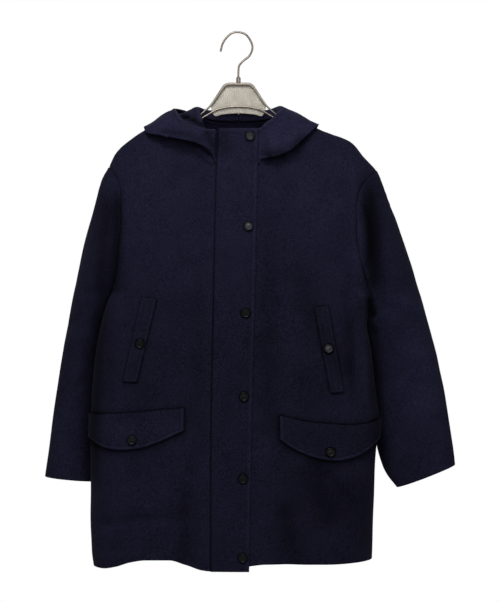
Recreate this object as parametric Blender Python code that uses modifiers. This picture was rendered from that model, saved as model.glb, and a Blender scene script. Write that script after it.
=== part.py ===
"""A hooded, snap-fronted wool parka hanging on a wire hanger.

Frame: +Z up, +X to the viewer's right, the front faces -Y. The origin is the top of the hook's inside, where a
rail carries it. Lengths below are millimetres. Right and left in names are the wearer's: the right side has x < 0.
"""

import math
from collections import namedtuple

import bmesh
import bpy
import numpy as np
from mathutils import Vector

MM = 0.001
CLOTH = 2.6
SEAM_GAP = 0.3
LAYER = CLOTH + SEAM_GAP
WELT_CLOTH = 3.0
FLAP_CLOTH = 3.4
SIDE_ROUND = 75.0
FRONT_TOP_ROUND = 110.0
BACK_TOP_ROUND = 70.0
ARMHOLE_DEPTH = 40.0
ARMHOLE_ROUND = 70.0
NECK_X = 80.0
LIFT_FADE = 70.0
LIFT_DEPTH = 30.0

SNAP_RADIUS = 8.0
SNAP_HEIGHT = 3.2
HOOK_WIRE = 1.9
FRAME_WIRE = 1.8
COLLAR_RADIUS = 4.2
COLLAR_TOP = -84.0
TOP_BAR_Z = -97.0
PLATE_THICKNESS = 2.4
COLLAR_CHAMFER = 0.9
STEM_END = TOP_BAR_Z + FRAME_WIRE + SEAM_GAP
HANGER_REACH = 190.0
HALF_WIRE_STEPS = 46
HOOK_STEPS = 40
ROUND_SIDES = 20
SNAP_TAPER = 0.5
SNAP_RIM = 0.9

# Half depth of the hanging body: height, front, back.
BODY_DEPTH = (
    (-1020, 64, 62),
    (-800, 58, 56),
    (-600, 56, 52),
    (-450, 55, 52),
    (-330, 52, 52),
    (-250, 47, 50),
    (-150, 45, 50),
)
# The snapped front strip: height, its seam on the right front, its free edge.
PLACKET = (
    (-1020, -51.5, 20.5),
    (-775, -51.5, 25.0),
    (-547, -47.5, 30.5),
    (-264, -41.5, 36.5),
    (-185, -37.5, 38.0),
)
PLACKET_TOP = -186.0
PLACKET_HEM = -1013.0
PLACKET_LEAN = 0.06
PLACKET_NECK = -264.0
PLACKET_STAND = (-245, -225, -205, PLACKET_TOP)
PLACKET_STEPS = 20
PLACKET_COLUMNS = 5
WELT_STEPS = 9
WELT_COLUMNS = 4
FLAP_STEPS = 5
FLAP_LEVEL = -745.0
FLAP_EDGE = 3.0
UNDERLAP = 10.0
PLACKET_GAP = 0.9
PATCH_REST = 0.9
WIRE_REST = 1.7
RIDGE_DROP = CLOTH + WIRE_REST + FRAME_WIRE
SLOPE_STEP = 0.8
WELD = 0.01
CURVE_STEPS = 16

# Side seam, then armhole: height, x.
RIGHT_EDGE = (
    (-1015, -273),
    (-982, -278),
    (-915, -280.5),
    (-846, -282),
    (-790, -282),
    (-707, -279),
    (-660, -276),
    (-608, -271),
    (-555, -261.5),
    (-515, -250),
    (-492, -240),
    (-463, -233),
    (-412, -227),
    (-365, -221.5),
    (-317, -221.5),
    (-289, -225),
    (-268, -236),
    (-255, -247),
)
LEFT_EDGE = (
    (-1000, 254),
    (-939, 255.5),
    (-874, 257),
    (-785, 263),
    (-737, 267),
    (-697, 263),
    (-661, 259),
    (-591, 251),
    (-555, 245),
    (-526, 247),
    (-498, 249),
    (-460, 238.5),
    (-386, 221.5),
    (-336, 221.5),
    (-300, 229),
    (-279, 243),
    (-262, 263),
)
# Shoulder seam along the top of the body: x, height.
RIGHT_RIDGE = (
    (-247, -255),
    (-234, -229),
    (-210, -207),
    (-177, -184.5),
    (-140, -170),
    (-110, -161),
    (-80, -154),
    (0, -147),
)
LEFT_RIDGE = (
    (0, -147),
    (80, -153),
    (120, -168),
    (163, -186),
    (208, -205),
    (223, -216.6),
    (238.5, -235),
    (253.6, -251),
    (263, -262),
)
# Neck seam: x, height.
RIGHT_NECK = ((-80, -154), (-71, -176), (-62, -202), (-52, -234), (-41.3, -255))
LEFT_NECK = ((-31, -256), (5, -256), (37, -254), (50, -236), (61, -207), (71, -178), (80, -153))
BACK_NECK = ((-80, -154), (-55, -162), (-28, -165), (0, -166), (28, -165), (55, -162), (80, -153))
# Hem: x, height.
HEM = (
    (-282, -1010),
    (-257, -1010),
    (-228, -1005),
    (-198, -996),
    (-168, -992),
    (-123, -992),
    (-94, -1001),
    (-64, -1010),
    (-45, -1012),
    (25, -1003),
    (55, -1000),
    (160, -1000),
    (220, -998),
    (250, -997),
    (267, -997),
)
BACK_HEM = ((-282, -1010), (-257, -1010), (-150, -1003), (0, -1000), (150, -1001), (250, -997), (267, -997))

Side = namedtuple("Side", "name sign edge ridge neck underarm tip")
RIGHT = Side("right", -1, RIGHT_EDGE, RIGHT_RIDGE, RIGHT_NECK, -492, -255)
LEFT = Side("left", 1, LEFT_EDGE, LEFT_RIDGE, LEFT_NECK, -526, -262)

# Soft folds of the front: start x, start z, end x, end z, half width, depth inwards.
FRONT_FOLDS = (
    (-88, -835, -90, -1000, 17, 7),
    (-250, -930, -103, -912, 16, 4),
    (165, -842, 222, -905, 18, 5),
    (88, -915, 92, -1000, 20, 5),
    (205, -505, 208, -640, 14, 5),
    (-214, -450, -222, -520, 16, 5),
    (-120, -300, -75, -262, 12, 3),
)
BACK_FOLDS = (
    (-95, -560, -120, -1000, 24, 6),
    (105, -600, 96, -1000, 22, 6),
    (-190, -420, -150, -600, 22, 5),
    (195, -440, 160, -640, 24, 5),
)

# Sleeve rings from shoulder to cuff: outer x and z, inner x and z, middle y, half depth.
RIGHT_SLEEVE = (
    (-259, -276, -246.5, -501, 2, 46),
    (-273, -320, -251.5, -512, 6, 51),
    (-288, -375, -256.5, -528, 12, 53),
    (-302, -430, -257.5, -547, 20, 53),
    (-314, -482, -260.5, -571, 29, 51),
    (-324, -531, -264, -602, 36, 49),
    (-335, -588, -267, -636, 42, 46),
    (-345, -648, -270, -678, 44, 43),
    (-355, -710, -271, -727, 46, 39),
    (-364, -775, -272, -784, 46, 36),
    (-372, -847, -272, -856, 44, 33),
)
LEFT_SLEEVE = (
    (272, -281, 250, -536, 2, 48),
    (288, -321, 251, -548, 6, 53),
    (307, -371, 251.5, -563, 12, 55),
    (326, -426, 250.5, -582, 20, 54),
    (344, -480, 251, -605, 29, 52),
    (361, -538, 252.5, -635, 38, 48),
    (378, -601, 256, -674, 43, 43),
    (393, -664, 260, -720, 45, 38),
    (404, -729, 264, -772, 43, 33),
    (412, -787, 277, -826, 40, 29),
    (416, -824, 305, -867, 36, 26),
)
ARMHOLE_BLEND = (1.0, 0.55, 0.22, 0.06)

# Hood round the neck, from the placket to the centre back: place, the outer roll x y z, the free edge x y z,
# how far it stands above the neck seam, how far its upper layer bulges.
RIGHT_HOOD = (
    (0.00, -43.6, -58, -229, -41.6, -54, -188, 5, 1),
    (0.14, -66, -68, -219, -62, -52, -186, 4, 4),
    (0.27, -94, -70, -211, -82, -46, -182, 6, 7),
    (0.41, -134, -58, -204, -98, -36, -173, 8, 10),
    (0.54, -174, -30, -193, -113, -22, -155, 12, 7),
    (0.66, -178, 20, -184, -120, 12, -141, 15, 6),
    (0.78, -156, 76, -228, -108, 58, -138, 18, 12),
    (0.89, -92, 110, -292, -66, 98, -148, 19, 16),
    (1.00, 0, 122, -330, 0, 112, -165, 18, 15),
)
LEFT_HOOD = (
    (0.00, -31, -47.4, -228, -31, -49.7, -193, 6, 0),
    (0.14, 10, -47.9, -230, 8, -49.9, -191, 6, 0),
    (0.231, 40, -48.0, -238, 38, -49.9, -186, 6, 0),
    (0.32, 66, -67, -241, 50, -55, -177, 3, 4),
    (0.44, 98, -66, -229, 64, -45, -165, 5, 8),
    (0.53, 126, -48, -205, 75, -30, -152, 11, 7),
    (0.63, 153, -10, -179, 84, -6, -141, 14, 4),
    (0.76, 142, 60, -218, 88, 42, -137, 17, 12),
    (0.88, 84, 106, -288, 58, 94, -148, 19, 16),
    (1.00, 0, 122, -330, 0, 112, -165, 18, 15),
)
HOOD_STEPS = 14
HOOD_REST = 6.0

# Pocket welts: x and z of the upper inner, upper outer, lower inner and lower outer corners.
WELTS = {
    "right": (-151.7, -506, -179.9, -501.3, -188.4, -660.7, -214.7, -660),
    "left": (141.3, -520.4, 168, -518, 172.2, -681, 197.2, -679),
}
# Pocket flaps: x, top z, bottom z.
FLAPS = {
    "right": (
        (-282, -721, -766),
        (-265, -721, -776),
        (-245, -720, -784),
        (-215, -718.5, -787),
        (-185, -716, -784),
        (-150, -712.5, -773),
        (-125, -710, -762),
        (-101, -708.5, -751),
    ),
    "left": (
        (77.5, -722, -767),
        (100, -728, -783),
        (130, -734, -797),
        (160, -737, -805),
        (185, -739, -807),
        (215, -740.5, -801),
        (240, -738, -789),
        (267, -730, -767),
    ),
}
PLACKET_SNAPS = ((21.9, -201), (19.2, -369.6), (14, -531.6), (10.7, -687.4), (8.8, -840.7), (8.2, -986.8))
POCKET_SNAPS = {
    "welt_right": (-183.4, -588.5),
    "welt_left": (168.7, -598.2),
    "flap_right": (-198.4, -768.5),
    "flap_left": (172, -790.5),
}

# The hanger, seen from the front, in x and z: half the upper bar, the bend at an end from the last point under
# the shoulder, half the lower arch, the middle of the hook's wire, and the plate.
UPPER_BAR = (
    (0, TOP_BAR_Z),
    (18, TOP_BAR_Z),
    (26, -100),
    (33, -109),
    (45, -127),
    (54, -139),
    (66, -149.5),
    (80, -159.5),
)
END_BEND = ((13, 10), (4, 17))
LOWER_ARCH = ((120, -186), (80, -168), (60, -156), (36, -144), (0, -139.5))
HOOK = (
    (-34, -35),
    (-28.5, -17),
    (-15, -1.5),
    (-0.5, HOOK_WIRE),
    (15.5, -4),
    (26.5, -24),
    (22, -41.5),
    (9, -53),
    (1.5, -62),
    (0, -74),
    (0, STEM_END),
)
PLATE_OUTLINE = (
    (-19, -98),
    (19, -98),
    (26, -101),
    (33, -110),
    (45, -129),
    (52, -140),
    (45, -157),
    (30, -154),
    (0, -152),
    (-30, -154),
    (-45, -157),
    (-52, -140),
    (-45, -129),
    (-33, -110),
    (-26, -101),
)

# Levels and columns of the body panels.
BODY_ROWS = (0, 0.06, 0.14, 0.22, 0.3, 0.38, 0.46, 0.54, 0.62, 0.7, 0.78, 0.86, 0.93, 0.97, 1.0)
ARMHOLE_ROWS = (1.05, 1.12, 1.22, 1.34, 1.47, 1.6, 1.72, 1.83, 1.92, 2.0)
SHOULDER_COLUMNS = (0, 0.14, 0.28, 0.42, 0.56, 0.69, 0.8, 0.89, 0.95, 0.985, 1.0)
RIGHT_NECK_COLUMNS = 6
LEFT_NECK_STEPS = (-31, -8, 15, 40, 48, 56, 64, 72)
BACK_NECK_STEPS = (0, 16, 32, 48, 64)


def read(table, key):
    """The table's values at a key between its rows, on a smooth curve that never overshoots them."""
    keys = [row[0] for row in table]
    rows = np.array([row[1:] for row in table], float)
    key = min(max(key, keys[0]), keys[-1])
    last = len(keys) - 1
    low = min(max(sum(k <= key for k in keys) - 1, 0), last - 1)

    def chord(n):
        return (rows[n + 1] - rows[n]) / (keys[n + 1] - keys[n])

    def slope(n):
        if n in (0, last):
            return chord(min(n, last - 1))
        before, after = chord(n - 1), chord(n)
        both = before + after
        safe = np.where(np.abs(both) < 1e-12, 1.0, both)
        return np.where(before * after > 0, 2 * before * after / safe, 0.0)

    span = keys[low + 1] - keys[low]
    t = (key - keys[low]) / span
    start = (2 * t**3 - 3 * t**2 + 1) * rows[low] + (t**3 - 2 * t**2 + t) * span * slope(low)
    end = (3 * t**2 - 2 * t**3) * rows[low + 1] + (t**3 - t**2) * span * slope(low + 1)
    return start + end


def quarter(t):
    """A quarter circle's height over its run, both 0 to 1."""
    t = min(max(t, 0.0), 1.0)
    return math.sqrt(t * (2 - t))


def fade(t):
    t = min(max(t, 0.0), 1.0)
    return t * t * (3 - 2 * t)


def fold_depth(folds, x, z):
    """How far the folds press the cloth in at a place."""
    total = 0.0
    for x0, z0, x1, z1, width, depth in folds:
        run = np.array((x1 - x0, z1 - z0), float)
        along = np.dot((x - x0, z - z0), run) / np.dot(run, run)
        near = min(max(along, 0.0), 1.0)
        away = math.hypot(x - x0 - near * run[0], z - z0 - near * run[1])
        total += depth * math.exp(-((away / width) ** 2))
    return total


def half_depth(side, x, z, back):
    """Distance of the hanging cloth's outer face from the mid plane."""
    front_depth, back_depth = read(BODY_DEPTH, z)
    full = back_depth if back else front_depth
    top_round = BACK_TOP_ROUND if back else FRONT_TOP_ROUND
    opening = ARMHOLE_DEPTH * quarter((z - side.underarm) / ARMHOLE_ROUND)
    if z <= side.underarm:
        opening = 0.0
    reach = side.sign * (read(side.edge, z)[0] - x)
    rounded = quarter(reach / SIDE_ROUND)
    spread = (1 - rounded**2) * (1 - (opening / full) ** 2)
    depth = full * math.sqrt(1 - spread) * quarter((read(side.ridge, x)[0] - z) / top_round)
    depth -= fold_depth(BACK_FOLDS if back else FRONT_FOLDS, x, z) * rounded
    if side is RIGHT and not back:
        lift = 1 - fade((read(PLACKET, z)[0] - x) / LIFT_FADE)
        depth += LAYER * lift * min(1.0, depth / LIFT_DEPTH)
    return max(depth, 0.0)


def front_point(side, x, z):
    return np.array((x, -half_depth(side, x, z, False), z))


def front_normal(side, x, z):
    """Outward direction of the front at a place, from its slope across and along."""
    inwards = -side.sign * SLOPE_STEP
    across = front_point(side, x + inwards, z) - front_point(side, x, z)
    up = front_point(side, x + inwards, z + SLOPE_STEP) - front_point(side, x + inwards, z - SLOPE_STEP)
    normal = np.cross(across * -side.sign, up)
    return normal / np.linalg.norm(normal)


def centre_x(side, z, back):
    if back:
        return 0.0
    seam = read(PLACKET, z)[0]
    return seam - PLACKET_GAP if side is RIGHT else seam + UNDERLAP


def top_z(side, x, back):
    if abs(x) >= NECK_X - 1e-6:
        return read(side.ridge, x)[0]
    return read(BACK_NECK if back else side.neck, x)[0]


def body_point(side, across, level, back):
    """A point of a body panel: across runs from the centre to the edge, level 0 hem, 1 underarm, 2 shoulder."""
    if level <= 1:
        middle = centre_x(side, side.underarm, back)
        hem_x = middle + (read(side.edge, HEM[0][1])[0] - middle) * across
        hem = read(BACK_HEM if back else HEM, hem_x)[0]
        z = hem + (side.underarm - hem) * level
    else:
        z = side.underarm + (side.tip - side.underarm) * (level - 1)
    centre = centre_x(side, z, back)
    x = centre + (read(side.edge, z)[0] - centre) * across
    if level > 1:
        centre = centre_x(side, side.tip, back)
        top_x = centre + (read(side.edge, side.tip)[0] - centre) * across
        z += (top_z(side, top_x, back) - side.tip) * (level - 1) ** 2
    y = half_depth(side, x, z, back)
    return np.array((x, y if back else -y, z))


def across_of(side, top_x, back):
    """The across value of the column that ends at an x of the top edge."""
    centre = centre_x(side, side.tip, back)
    return (top_x - centre) / (read(side.edge, side.tip)[0] - centre)


def shoulder_steps(side):
    tip = read(side.edge, side.tip)[0]
    neck = side.sign * NECK_X
    return [neck + (tip - neck) * s for s in SHOULDER_COLUMNS]


def neck_steps(side):
    """The x values of the neck's columns on a front, from the centre to just before the shoulder seam."""
    if side is LEFT:
        return list(LEFT_NECK_STEPS)
    centre = centre_x(side, side.tip, False)
    return list(np.linspace(centre, -NECK_X, RIGHT_NECK_COLUMNS + 1)[:-1])


def body_grid(side, back):
    """Rows from hem to shoulder, each from the centre to the side."""
    steps = [side.sign * x for x in BACK_NECK_STEPS] if back else neck_steps(side)
    columns = [across_of(side, x, back) for x in steps + shoulder_steps(side)]
    columns[0] = 0.0
    columns[-1] = 1.0
    return np.array([[body_point(side, c, v, back) for c in columns] for v in BODY_ROWS + ARMHOLE_ROWS])


def armhole_ring(front, back):
    """The armhole seam as a ring: the shoulder tip, down the front, the underarm, and up the back."""
    first = len(BODY_ROWS) - 1
    down = [front[row, -1] for row in range(len(front) - 1, first - 1, -1)]
    up = [back[row, -1] for row in range(first + 1, len(back) - 1)]
    return np.array(down + up)


def sleeve_grid(ring, table):
    """Rings from the armhole to the cuff, each with the armhole's number of points."""
    count = len(ring)
    half = count // 2
    tip, underarm = ring[0], ring[half]
    chord = underarm - tip
    fall = [np.dot(p - tip, chord) / np.dot(chord, chord) for p in ring]
    cosines = np.array([1 - 2 * min(max(f, 0.0), 1.0) for f in fall])
    sines = np.sqrt(1 - cosines**2)
    sines[:half] *= -1

    def oval(outer, inner, depth):
        middle, reach = (outer + inner) / 2, (outer - inner) / 2
        return np.array([middle + reach * c + np.array((0, depth * s, 0)) for c, s in zip(cosines, sines)])

    extra = ring - oval(tip, underarm, ARMHOLE_DEPTH)
    rings = [ring]
    for number, (outer_x, outer_z, inner_x, inner_z, middle_y, depth) in enumerate(table, 1):
        outer = np.array((outer_x, middle_y, outer_z), float)
        inner = np.array((inner_x, middle_y, inner_z), float)
        share = ARMHOLE_BLEND[number] if number < len(ARMHOLE_BLEND) else 0.0
        rings.append(oval(outer, inner, depth) + extra * share)
    return np.array(rings)


def even_path(points, count):
    """A smooth curve through the points, as count points evenly spaced along it."""
    points = [np.array(p, float) for p in points]
    padded = [2 * points[0] - points[1]] + points + [2 * points[-1] - points[-2]]
    fine = []
    for before, a, b, after in zip(padded, padded[1:], padded[2:], padded[3:]):
        for t in np.linspace(0, 1, CURVE_STEPS, endpoint=False):
            bend = 2 * before - 5 * a + 4 * b - after
            fine.append(0.5 * (2 * a + (b - before) * t + bend * t**2 + (3 * (a - b) + after - before) * t**3))
    fine = np.array(fine + [points[-1]])
    run = np.concatenate([[0], np.cumsum(np.linalg.norm(np.diff(fine, axis=0), axis=1))])
    stations = np.linspace(0, run[-1], count)
    return np.array([[np.interp(s, run, fine[:, axis]) for axis in range(3)] for s in stations])


def hood_grid(neck, table):
    """A section for each neck point, from the neck seam up, over, out to the roll and back to the free edge."""
    rows = []
    side = RIGHT if neck[3][0] < 0 else LEFT
    for number, seam in enumerate(neck):
        values = read(table, number / (len(neck) - 1))
        roll, edge, stand, bulge = values[0:3], values[3:6], values[6], values[7]
        out = np.array((roll[0] - seam[0], roll[1] - seam[1], 0))
        out /= max(np.linalg.norm(out), 1e-6)
        top = seam + np.array((0, 0, stand)) + out * 0.2 * stand
        lifted = (roll + edge) / 2 + (out + np.array((0, 0, 1))) * bulge / math.sqrt(2)
        path = even_path((seam, top, roll, lifted, edge), HOOD_STEPS)
        for point in path[1:]:
            point[2] = max(point[2], shoulder_top(side, point[0], point[1]) + HOOD_REST)
        rows.append(path)
    return np.array(rows)


def shoulder_top(side, x, y):
    """Height of the shoulder under a place, or far below where there is none."""
    front_depth, back_depth = read(BODY_DEPTH, side.tip)
    full, top_round = (back_depth, BACK_TOP_ROUND) if y > 0 else (front_depth, FRONT_TOP_ROUND)
    if abs(y) >= full or abs(x) < NECK_X:
        return -math.inf
    return read(side.ridge, x)[0] - top_round * (1 - math.sqrt(1 - (y / full) ** 2))


def quads(rows, columns, ring, flip):
    """Index quads of a grid, closed round the columns when it is a ring."""
    faces = []
    for r in range(rows - 1):
        for c in range(columns if ring else columns - 1):
            d = (c + 1) % columns
            face = [r * columns + c, r * columns + d, (r + 1) * columns + d, (r + 1) * columns + c]
            faces.append(face[::-1] if flip else face)
    return faces


def skin_normals(pieces):
    """Outward normals of every grid point, shared by the pieces that meet along a seam."""
    bm = bmesh.new()
    for grid, ring, flip in pieces.values():
        rows, columns = grid.shape[:2]
        verts = [bm.verts.new(p) for p in grid.reshape(-1, 3)]
        for face in quads(rows, columns, ring, flip):
            bm.faces.new([verts[i] for i in face])
    bmesh.ops.remove_doubles(bm, verts=bm.verts, dist=WELD)
    bm.normal_update()
    spots = np.array([v.co for v in bm.verts])
    outward = np.array([v.normal for v in bm.verts])
    bm.free()
    found = {}
    for name, (grid, _, _) in pieces.items():
        nearest = [int(np.argmin(((spots - p) ** 2).sum(axis=1))) for p in grid.reshape(-1, 3)]
        found[name] = outward[nearest].reshape(grid.shape)
    return found


def drawn_back(grid, normals, edges, ring):
    """The grid with each named edge drawn back by half a seam gap, square to the seam: r rows, c columns."""
    moved = grid.copy()
    for edge in edges:
        here, inside = (0, 1) if edge[1] == "0" else (-1, -2)
        across = (lambda g, n: g[n]) if edge[0] == "r" else (lambda g, n: g[:, n])
        line, normal = across(grid, here), across(normals, here)
        if ring:
            along = np.roll(line, -1, axis=0) - np.roll(line, 1, axis=0)
        else:
            along = np.gradient(line, axis=0)
        way = np.cross(normal, along)
        way /= np.linalg.norm(way, axis=-1, keepdims=True)
        facing = np.sign(((across(grid, inside) - line) * way).sum())
        across(moved, here)[:] += way * facing * SEAM_GAP / 2
    return moved


def wall(name, grid, normals, thickness, ring, flip, material, seams=()):
    """A cloth wall: the grid is its outer face, and its inner face lies its thickness inside."""
    outer = drawn_back(grid, normals, seams, ring)
    inner = outer - normals * thickness
    rows, columns = grid.shape[:2]
    bm = bmesh.new()
    out = [bm.verts.new(Vector(p) * MM) for p in outer.reshape(-1, 3)]
    into = [bm.verts.new(Vector(p) * MM) for p in inner.reshape(-1, 3)]
    for face in quads(rows, columns, ring, flip):
        bm.faces.new([out[i] for i in face])
        bm.faces.new([into[i] for i in reversed(face)])
    rim = [e for e in bm.edges if len(e.link_faces) == 1]
    pair = {v: w for v, w in zip(out, into)}
    for edge in rim:
        if edge.verts[0] not in pair or edge.verts[1] not in pair:
            continue
        a = next(lp.vert for lp in edge.link_faces[0].loops if lp.edge is edge)
        b = edge.other_vert(a)
        if (a.co.z, a.co.x) > (b.co.z, b.co.x):
            bm.faces.new((b, a, pair[b]))
            bm.faces.new((a, pair[a], pair[b]))
        else:
            bm.faces.new((b, a, pair[a]))
            bm.faces.new((b, pair[a], pair[b]))
    return finish(name, bm, material)


def finish(name, bm, material):
    mesh = bpy.data.meshes.new(name)
    bm.to_mesh(mesh)
    bm.free()
    mesh.shade_smooth()
    mesh.set_sharp_from_angle(angle=math.radians(50))
    mesh.materials.append(material)
    obj = bpy.data.objects.new(name, mesh)
    parka.objects.link(obj)
    return obj


def shaded(name, colour, roughness, metallic):
    material = bpy.data.materials.new(name)
    material.use_nodes = True
    bsdf = material.node_tree.nodes["Principled BSDF"]
    bsdf.inputs["Base Color"].default_value = (*colour, 1)
    bsdf.inputs["Roughness"].default_value = roughness
    bsdf.inputs["Metallic"].default_value = metallic
    return material


def patch(name, side, lines, thickness):
    """A piece laid on a front: lines of (x, z) places, from its upper edge down, raised by a layer gap."""
    places = [[front_point(side, x, z) for x, z in line] for line in lines]
    normals = np.array([[front_normal(side, x, z) for x, z in line] for line in lines])
    outer = np.array(places) + normals * (PATCH_REST + thickness)
    flip = side is LEFT
    return wall(name, outer, normals, thickness, False, flip, cloth)


def snap_cap(name, surface, facing):
    """A round snap cap at a place of a cloth's outer face, its flat back a seam gap above it."""
    normal = Vector(facing)
    place = Vector(surface) + normal * (SEAM_GAP + SNAP_HEIGHT / 2)
    bm = bmesh.new()
    bmesh.ops.create_cone(
        bm,
        cap_ends=True,
        segments=ROUND_SIDES,
        radius1=SNAP_RADIUS * MM,
        radius2=(SNAP_RADIUS - SNAP_TAPER) * MM,
        depth=SNAP_HEIGHT * MM,
    )
    cap = finish(name, bm, gunmetal)
    cap.location = place * MM
    cap.rotation_euler = normal.to_track_quat("Z", "Y").to_euler()
    bevel = cap.modifiers.new("rim", "BEVEL")
    bevel.width = SNAP_RIM * MM
    bevel.segments = 2
    bevel.limit_method = "ANGLE"
    return cap


def wire(name, points, radius, closed, material):
    curve = bpy.data.curves.new(name, "CURVE")
    curve.dimensions = "3D"
    spline = curve.splines.new("POLY")
    spline.points.add(len(points) - 1)
    for point, place in zip(spline.points, points):
        point.co = (*(Vector(place) * MM), 1)
    spline.use_cyclic_u = closed
    curve.bevel_depth = radius * MM
    curve.bevel_resolution = 2
    curve.use_fill_caps = not closed
    curve.materials.append(material)
    obj = bpy.data.objects.new(name, curve)
    parka.objects.link(obj)
    return obj


for old in list(bpy.data.objects):
    bpy.data.objects.remove(old)
parka = bpy.data.collections.new("hooded_parka_on_hanger")
bpy.context.scene.collection.children.link(parka)
cloth = shaded("navy_wool", (0.010, 0.010, 0.020), 0.95, 0.0)
gunmetal = shaded("gunmetal", (0.040, 0.040, 0.045), 0.35, 1.0)
chrome = shaded("chrome", (0.600, 0.590, 0.570), 0.15, 1.0)
plastic = shaded("ribbed_plastic", (0.500, 0.470, 0.410), 0.45, 0.0)

# Body, sleeves and hood are one skin, cut into panels along its seams.
fronts = {side: body_grid(side, False) for side in (RIGHT, LEFT)}
backs = {side: body_grid(side, True) for side in (RIGHT, LEFT)}
whole_back = np.concatenate([backs[RIGHT][:, ::-1], backs[LEFT][:, 1:]], axis=1)
right_back_neck = backs[RIGHT][-1, : len(BACK_NECK_STEPS) + 1][::-1]
left_back_neck = backs[LEFT][-1, : len(BACK_NECK_STEPS) + 1][::-1]
right_neck = np.concatenate([fronts[RIGHT][-1, : RIGHT_NECK_COLUMNS + 1], right_back_neck[1:]])
left_neck = np.concatenate([fronts[LEFT][-1, : len(LEFT_NECK_STEPS) + 1], left_back_neck[1:]])
skin = {
    "front_right": (fronts[RIGHT], False, True),
    "front_left": (fronts[LEFT], False, False),
    "back": (whole_back, False, True),
    "sleeve_right": (sleeve_grid(armhole_ring(fronts[RIGHT], backs[RIGHT]), RIGHT_SLEEVE), True, True),
    "sleeve_left": (sleeve_grid(armhole_ring(fronts[LEFT], backs[LEFT]), LEFT_SLEEVE), True, False),
    "hood_right": (hood_grid(right_neck, RIGHT_HOOD), False, False),
    "hood_left": (hood_grid(left_neck, LEFT_HOOD), False, True),
}
seams = {
    "front_right": ("r1", "c1"),
    "front_left": ("r1", "c1"),
    "back": ("r1", "c0", "c1"),
    "sleeve_right": ("r0",),
    "sleeve_left": ("r0",),
    "hood_right": ("c0", "r1"),
    "hood_left": ("c0", "r1"),
}
normals = skin_normals(skin)
for name, (grid, ring, flip) in skin.items():
    wall(name, grid, normals[name], CLOTH, ring, flip, cloth, seams[name])

# The placket lies one layer in front of the left front, flush with the right front at its seam.
def placket_point(x, z):
    """A point of the placket's outer face, which leans forward above the neck seam."""
    neck = LEFT_NECK[0][1]
    lean = max(0.0, z - neck) * PLACKET_LEAN
    return np.array((x, -half_depth(LEFT, x, min(z, neck), False) - LAYER - lean, z))


placket_rows = []
for z in list(np.linspace(PLACKET_HEM, PLACKET_NECK, PLACKET_STEPS)) + list(PLACKET_STAND):
    seam, free = read(PLACKET, z)
    placket_rows.append([placket_point(x, z) for x in np.linspace(seam, free, PLACKET_COLUMNS)])
placket_grid = np.array(placket_rows)
forward = np.zeros_like(placket_grid)
forward[..., 1] = -1
wall("placket", placket_grid, forward, CLOTH, False, False, cloth)

# Welts and flaps are laid on the fronts.
for side in (RIGHT, LEFT):
    corners = np.array(WELTS[side.name]).reshape(2, 2, 2)
    lines = []
    for down in np.linspace(0, 1, WELT_STEPS):
        inner_end, outer_end = corners[0] * (1 - down) + corners[1] * down
        lines.append([tuple(inner_end * (1 - s) + outer_end * s) for s in np.linspace(0, 1, WELT_COLUMNS)])
    patch("welt_" + side.name, side, lines, WELT_CLOTH)

    table = FLAPS[side.name]
    inner_x = table[-1][0] if side is RIGHT else table[0][0]
    edge_x = read(side.edge, FLAP_LEVEL)[0]
    centre = centre_x(side, FLAP_LEVEL, False)
    ends = neck_steps(side) + shoulder_steps(side)
    panel = [centre + (edge_x - centre) * across_of(side, x, False) for x in ends]
    columns = [inner_x] + [x for x in panel[:-1] if abs(x) > abs(inner_x) + FLAP_EDGE]
    lines = []
    for down in np.linspace(0, 1, FLAP_STEPS):
        line = []
        for x in columns:
            upper, lower = read(table, x)
            line.append((x, upper + (lower - upper) * down))
        lines.append(line)
    patch("flap_" + side.name, side, lines, FLAP_CLOTH)

for number, (x, z) in enumerate(PLACKET_SNAPS, 1):
    lean = PLACKET_LEAN if z > LEFT_NECK[0][1] else 0.0
    snap_cap(f"snap_placket_{number}", placket_point(x, z), (0, -math.cos(lean), -math.sin(lean)))
for place, (x, z) in POCKET_SNAPS.items():
    kind, name = place.split("_")
    side = RIGHT if name == "right" else LEFT
    normal = front_normal(side, x, z)
    raised = PATCH_REST + (WELT_CLOTH if kind == "welt" else FLAP_CLOTH)
    snap_cap("snap_" + place, front_point(side, x, z) + normal * raised, normal)

# The hanger: one bent wire that carries the shoulders, a ribbed plate behind it, a collar and the hook.

def shoulder_wire(side):
    """Points of the wire just under the shoulder seam, from the neck out."""
    spots = [x for x in shoulder_steps(side) if NECK_X + 1 < abs(x) < HANGER_REACH]
    return [(x, 0, read(side.ridge, x)[0] - RIDGE_DROP) for x in spots]


def half_loop(side):
    """One half of the wire, from the middle of the top bar to the middle of the lower arch."""
    s = side.sign
    upper = shoulder_wire(side)
    end_x, _, end_z = upper[-1]
    knots = [(s * x, 0, z) for x, z in UPPER_BAR]
    knots += upper
    knots += [(end_x + s * out, 0, end_z - drop) for out, drop in END_BEND]
    knots += [(s * x, 0, z) for x, z in LOWER_ARCH]
    return knots


right_half = even_path(half_loop(RIGHT), HALF_WIRE_STEPS)
left_half = even_path(half_loop(LEFT), HALF_WIRE_STEPS)
loop = list(left_half) + list(right_half[1:-1][::-1])
wire("hanger_wire", loop, FRAME_WIRE, True, chrome)

hook_path = even_path([(x, 0, z) for x, z in HOOK], HOOK_STEPS)
wire("hanger_hook", hook_path, HOOK_WIRE, False, chrome)

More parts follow.
